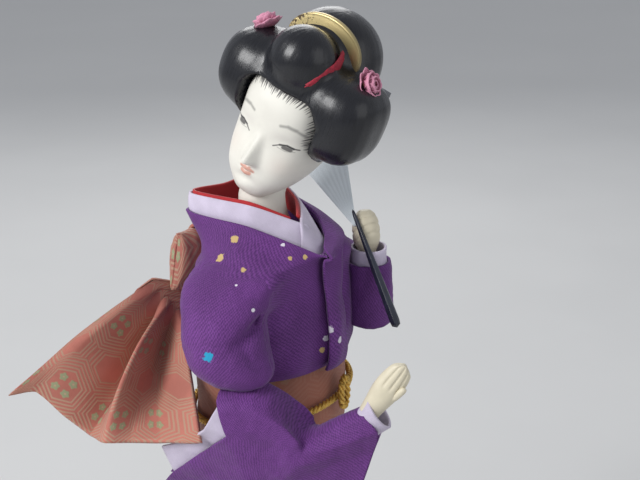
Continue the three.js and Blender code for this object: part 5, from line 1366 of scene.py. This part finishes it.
class DOLL_OT_hands(bpy.types.Operator):
    """The open right hand and the left hand closed round the fan"""
    bl_idname = "doll.hands"
    bl_label = "Hands"

    def execute(self, context):
        cream = grained("cream_hand", context.scene.doll_colours.hand, 160.0, 0.46, 0.05, depth=0.03)
        aim = RIGHT_HAND_AIM.normalized()
        across = FOREARM_TURN.cross(aim).cross(aim).normalized()
        through = aim.cross(across).normalized()
        start = chest(*RIGHT_WRIST) - aim * WRIST_DEPTH
        thumb_foot = start + aim * 9 - across * 3.2 + through * 1.6
        thumb_aim = aim * 0.97 - across * 0.12 + through * 0.2

        def hand(angle, share):
            reach, wide, deep = between(RIGHT_HAND_ROWS, share)
            side, over = (0.15, 0) if share in (0, 1) else (math.cos(angle), math.sin(angle))
            fingers = smooth(reach, 0.5, 0.62)
            groove = 1 - 0.2 * fingers * (1 - abs(math.sin(TURN * side))) ** 2
            tip = 1 - 0.05 * fingers * smooth(reach, 0.75, 1) * (side - 0.15) ** 2
            centre = start + aim * (reach * tip * RIGHT_HAND_REACH) + through * 1.6 * reach * reach
            if share <= 0 or share >= 1:
                return centre
            return (centre + across * RIGHT_HAND_HALF_WIDTH * wide * side
                    + through * RIGHT_HAND_HALF_DEPTH * deep * groove * over)

        def thumb(angle, share):
            swell = math.sqrt(max(0, 1 - (2 * share - 1) ** 4)) * THUMB_RADIUS
            centre = thumb_foot + thumb_aim * (THUMB_LENGTH * share)
            return centre + across * swell * math.cos(angle) + through * swell * math.sin(angle)

        end = chest(*LEFT_WRIST)
        fist_aim = (chest(*LEFT_PALM) - end).normalized()
        grip = (chest(*FAN_TOP) - chest(*FAN_FOOT)).normalized()
        fist_across = grip.cross(fist_aim).normalized()
        fist_over = fist_across.cross(fist_aim)

        def fist(angle, share):
            reach, wide, deep = between(FIST_ROWS, share)
            centre = end + fist_aim * mix(-WRIST_DEPTH, FIST_REACH, reach)
            if share <= 0 or share >= 1:
                return centre
            point = (centre + fist_across * FIST_HALF_WIDTH * wide * math.cos(angle)
                     + fist_over * FIST_HALF_DEPTH * deep * math.sin(angle))
            stacked = abs(math.sin(math.pi * (point - end).dot(grip) / FINGER_WIDTH))
            return point.lerp(centre, 0.11 * (1 - stacked) ** 3 * smooth(reach, 0.3, 0.45))

        moulded("right_hand_open", ["hand_right"], cream, "right_hand", "hand", (hand, 72, 60, 23), (thumb, 24, 18, 8))
        moulded("left_hand_closed", ["hand_left"], cream, "left_hand", "hand", (fist, 72, 56, 18))
        return {"FINISHED"}


class DOLL_OT_fan(bpy.types.Operator):
    """Folding fan with a dark handle and a half-open pleated leaf"""
    bl_idname = "doll.fan"
    bl_label = "Fan"

    def execute(self, context):
        colours = context.scene.doll_colours
        foot, top, apex, near, far = (chest(*place) for place in (FAN_FOOT, FAN_TOP, FAN_APEX, FAN_NEAR, FAN_FAR))
        aim = (top - foot).normalized()
        across = Vector((1, 0, 0)).cross(aim).normalized()
        through = aim.cross(across)
        normal = (near - apex).cross(far - apex).normalized()
        spread = (near - apex).angle(far - apex)
        ratio = (far - apex).length / (near - apex).length

        def handle(angle, share):
            radius = mix(FAN_STICK_THICK, FAN_STICK_THIN, share) * along(FAN_STICK_ROWS, share) / mix(1, 0.6, share)
            if share <= 0 or share >= 1:
                radius = 0
            guard = 1 + 0.06 * math.cos(6 * angle)
            return foot.lerp(top, share) + (across * math.cos(angle) + through * 0.8 * math.sin(angle)) * radius * guard

        def leaf(u, v):
            out = mix(0.05, 1, v)
            turned = Matrix.Rotation(spread * u, 3, normal) @ (near - apex)
            beat = FAN_PLEATS * u
            fold = (abs(2 * (beat - math.floor(beat)) - 1) - 0.5) * FAN_PLEAT_DEPTH * out
            return apex + turned * mix(1, ratio, u) * out + normal * fold

        moulded("fan_stick", ["fan_handle"], dark_stick(colours), "left_hand", "lacquer", (handle, 32, 48, 48))
        paper = cloth("fan_leaf_paper", ["fan_leaf"], fan_paper(colours), "paper", 0.5 * MM, (leaf, 84, 30, (22, 45)),
                      body="left_hand", offset=0)
        return {"FINISHED"}


class DOLL_OT_head(bpy.types.Operator):
    """White head and neck with the painted face"""
    bl_idname = "doll.head"
    bl_label = "Head"

    def execute(self, context):
        bm = bmesh.new()
        round_body(bm, head_point, 240, 150, 55)
        turn_out(bm)
        face_map = bm.loops.layers.uv.verify()
        front, fringe, turn = (bm.verts.layers.float.new(name) for name in ("front", "fringe", "turn"))
        weave_panel(bm, neck_point, 72, 60, (60, 50), True)
        into_head = HEAD_FRAME.inverted()
        for point in bm.verts:
            local = into_head @ (point.co / MM)
            point[front] = smooth(-local.y, 2, 6) * smooth(local.z, -1.5, 2)
            point[fringe] = hairline_depth(local.x, local.z) + 5 * smooth(local.z, 27, 17)
            point[turn] = math.atan2(local.x, local.z - 18)
            for corner in point.link_loops:
                corner[face_map].uv = (local.x / 10, local.z / 10)
        put("painted_head", bm, painted_face(context.scene.doll_colours), "head", ["head"])
        return {"FINISHED"}


class DOLL_OT_hair(bpy.types.Operator):
    """Moulded hair in five lobes, with the red ribbon round the front lock"""
    bl_idname = "doll.hair"
    bl_label = "Hair"

    def execute(self, context):
        black = combed_hair(context.scene.doll_colours)
        for node, (_, half, _) in HAIR_LOBES.items():
            moulded(node + "_combed", [node], black, "head", "hair", (lobe_shape(node), 144, 96, 3.14 * half[0]))
        ribbon = grained("red_ribbon", (0.34, 0.02, 0.04), 700.0, 0.75, 0.35, depth=0.2)
        bm = bmesh.new()
        weave_panel(bm, ribbon_point, 24, 140, (10, 56), True)
        close_ends(bm)
        band = put("red_ribbon_band", bm, ribbon, "head", ["hair_ribbon"])
        return {"FINISHED"}


class DOLL_OT_ornaments(bpy.types.Operator):
    """Gilt comb, two pink flowers on pins and the dark bar"""
    bl_idname = "doll.ornaments"
    bl_label = "Hair ornaments"

    def execute(self, context):
        colours = context.scene.doll_colours
        bm = bmesh.new()
        weave_panel(bm, comb_point, 90, 64, (48, 40), True)
        bmesh.ops.remove_doubles(bm, verts=bm.verts, dist=2e-5)
        close_ends(bm)
        across = bm.verts.layers.float.new("across")
        into_head = HEAD_FRAME.inverted()
        for point in bm.verts:
            point[across] = (into_head @ (point.co / MM)).x / COMB_HALF_WIDTH
        put("crescent_comb", bm, gilt_comb(colours), "comb", ["comb"], sharp=50)
        silk = petal_silk(colours)
        gilt = grained("gilt_pin", colours.gilt, 300.0, 0.35, 0.2, metallic=0.8)
        for side, hand in ((-1, "right"), (1, "left")):
            spot = (HEAD_FRAME @ Matrix.Translation((FLOWER_X * side, FLOWER_Y, FLOWER_Z))
                    @ Matrix.Rotation(math.radians(FLOWER_SLOPE * side), 4, "Y"))
            cloth("pink_flower_" + hand, [], silk, "pink", 0.3 * MM, *petals(spot), body=hand + "_flower", offset=0)
            moulded("flower_stem_" + hand, ["flower_pin_" + hand], gilt, hand + "_flower", "gilt",
                    (pin_shape(spot), 20, 40, 17))
        cover("hair_bar", dark_stick(colours))
        return {"FINISHED"}


class DOLL_OT_stage(bpy.types.Operator):
    """Pale floor, soft light and the camera at the photograph's angle"""
    bl_idname = "doll.stage"
    bl_label = "Stage"

    def execute(self, context):
        scene = context.scene
        bm = bmesh.new()
        bmesh.ops.create_grid(bm, x_segments=1, y_segments=1, size=4)
        mesh = bpy.data.meshes.new("floor")
        bm.to_mesh(mesh)
        bm.free()
        floor = bpy.data.objects.new("floor", mesh)
        scene.collection.objects.link(floor)
        mesh.materials.append(grained("floor_paint", scene.doll_colours.floor, 3.0, 0.8, 0.02, depth=0.05))

        scene.view_settings.view_transform = "Standard"
        scene.world = bpy.data.worlds.new("soft_room")
        scene.world.use_nodes = True
        feed(scene.world.node_tree, scene.world.node_tree.nodes["Background"],
             {"Color": (0.9, 0.93, 1.0, 1), "Strength": 0.5})

        def stand(name, data, place, target):
            made = bpy.data.objects.new(name, data)
            made.location = place
            made.rotation_mode = "QUATERNION"
            made.rotation_quaternion = (target - Vector(place)).to_track_quat("-Z", "Y")
            scene.collection.objects.link(made)
            return made

        for name, place, size, strength in (("key", (-1.05, 0.25, 0.95), 0.6, 14.0),
                                            ("fill", (0.2, -1.4, 0.7), 1.2, 3.5),
                                            ("rim", (0.75, 0.75, 0.9), 0.6, 4.0)):
            lamp = bpy.data.lights.new(name, "AREA")
            lamp.energy = strength
            lamp.size = size
            stand(name, lamp, place, Vector((0.0, 0.0, 0.28)))
        lens = bpy.data.cameras.new("camera")
        lens.lens = 65
        lens.sensor_width = 36
        lens.clip_start = 0.01
        lens.clip_end = 50
        scene.camera = stand("camera", lens, MM * Vector((-287.9, -284.1, SASH_TOP + 189.1)),
                             MM * Vector((12.38, -13.75, SASH_TOP + 42)))
        return {"FINISHED"}


PIECES = (DOLL_OT_plinth, DOLL_OT_body, DOLL_OT_skirts, DOLL_OT_sash, DOLL_OT_bow, DOLL_OT_bodice, DOLL_OT_sleeves,
          DOLL_OT_hands, DOLL_OT_fan, DOLL_OT_head, DOLL_OT_hair, DOLL_OT_ornaments, DOLL_OT_stage)


class DOLL_PT_panel(bpy.types.Panel):
    """Lists the doll's pieces, sizes and colours"""
    bl_idname = "DOLL_PT_panel"
    bl_label = "Geisha doll"
    bl_space_type = "VIEW_3D"
    bl_region_type = "UI"
    bl_category = "Doll"

    def draw(self, context):
        for piece in PIECES:
            self.layout.operator(piece.bl_idname)
        for group in (context.scene.doll_sizes, context.scene.doll_colours):
            box = self.layout.box()
            for key in group.__annotations__:
                box.prop(group, key)


CLASSES = (DollSizes, DollColours, *PIECES, DOLL_PT_panel)


def register():
    for made in CLASSES:
        bpy.utils.register_class(made)
    bpy.types.Scene.doll_sizes = bpy.props.PointerProperty(type=DollSizes)
    bpy.types.Scene.doll_colours = bpy.props.PointerProperty(type=DollColours)


def unregister():
    del bpy.types.Scene.doll_colours
    del bpy.types.Scene.doll_sizes
    for made in reversed(CLASSES):
        bpy.utils.unregister_class(made)


def main():
    register()
    for piece in PIECES:
        group, name = piece.bl_idname.split(".")
        getattr(getattr(bpy.ops, group), name)()
    bpy.context.view_layer.update()


if __name__ == "__main__":
    main()
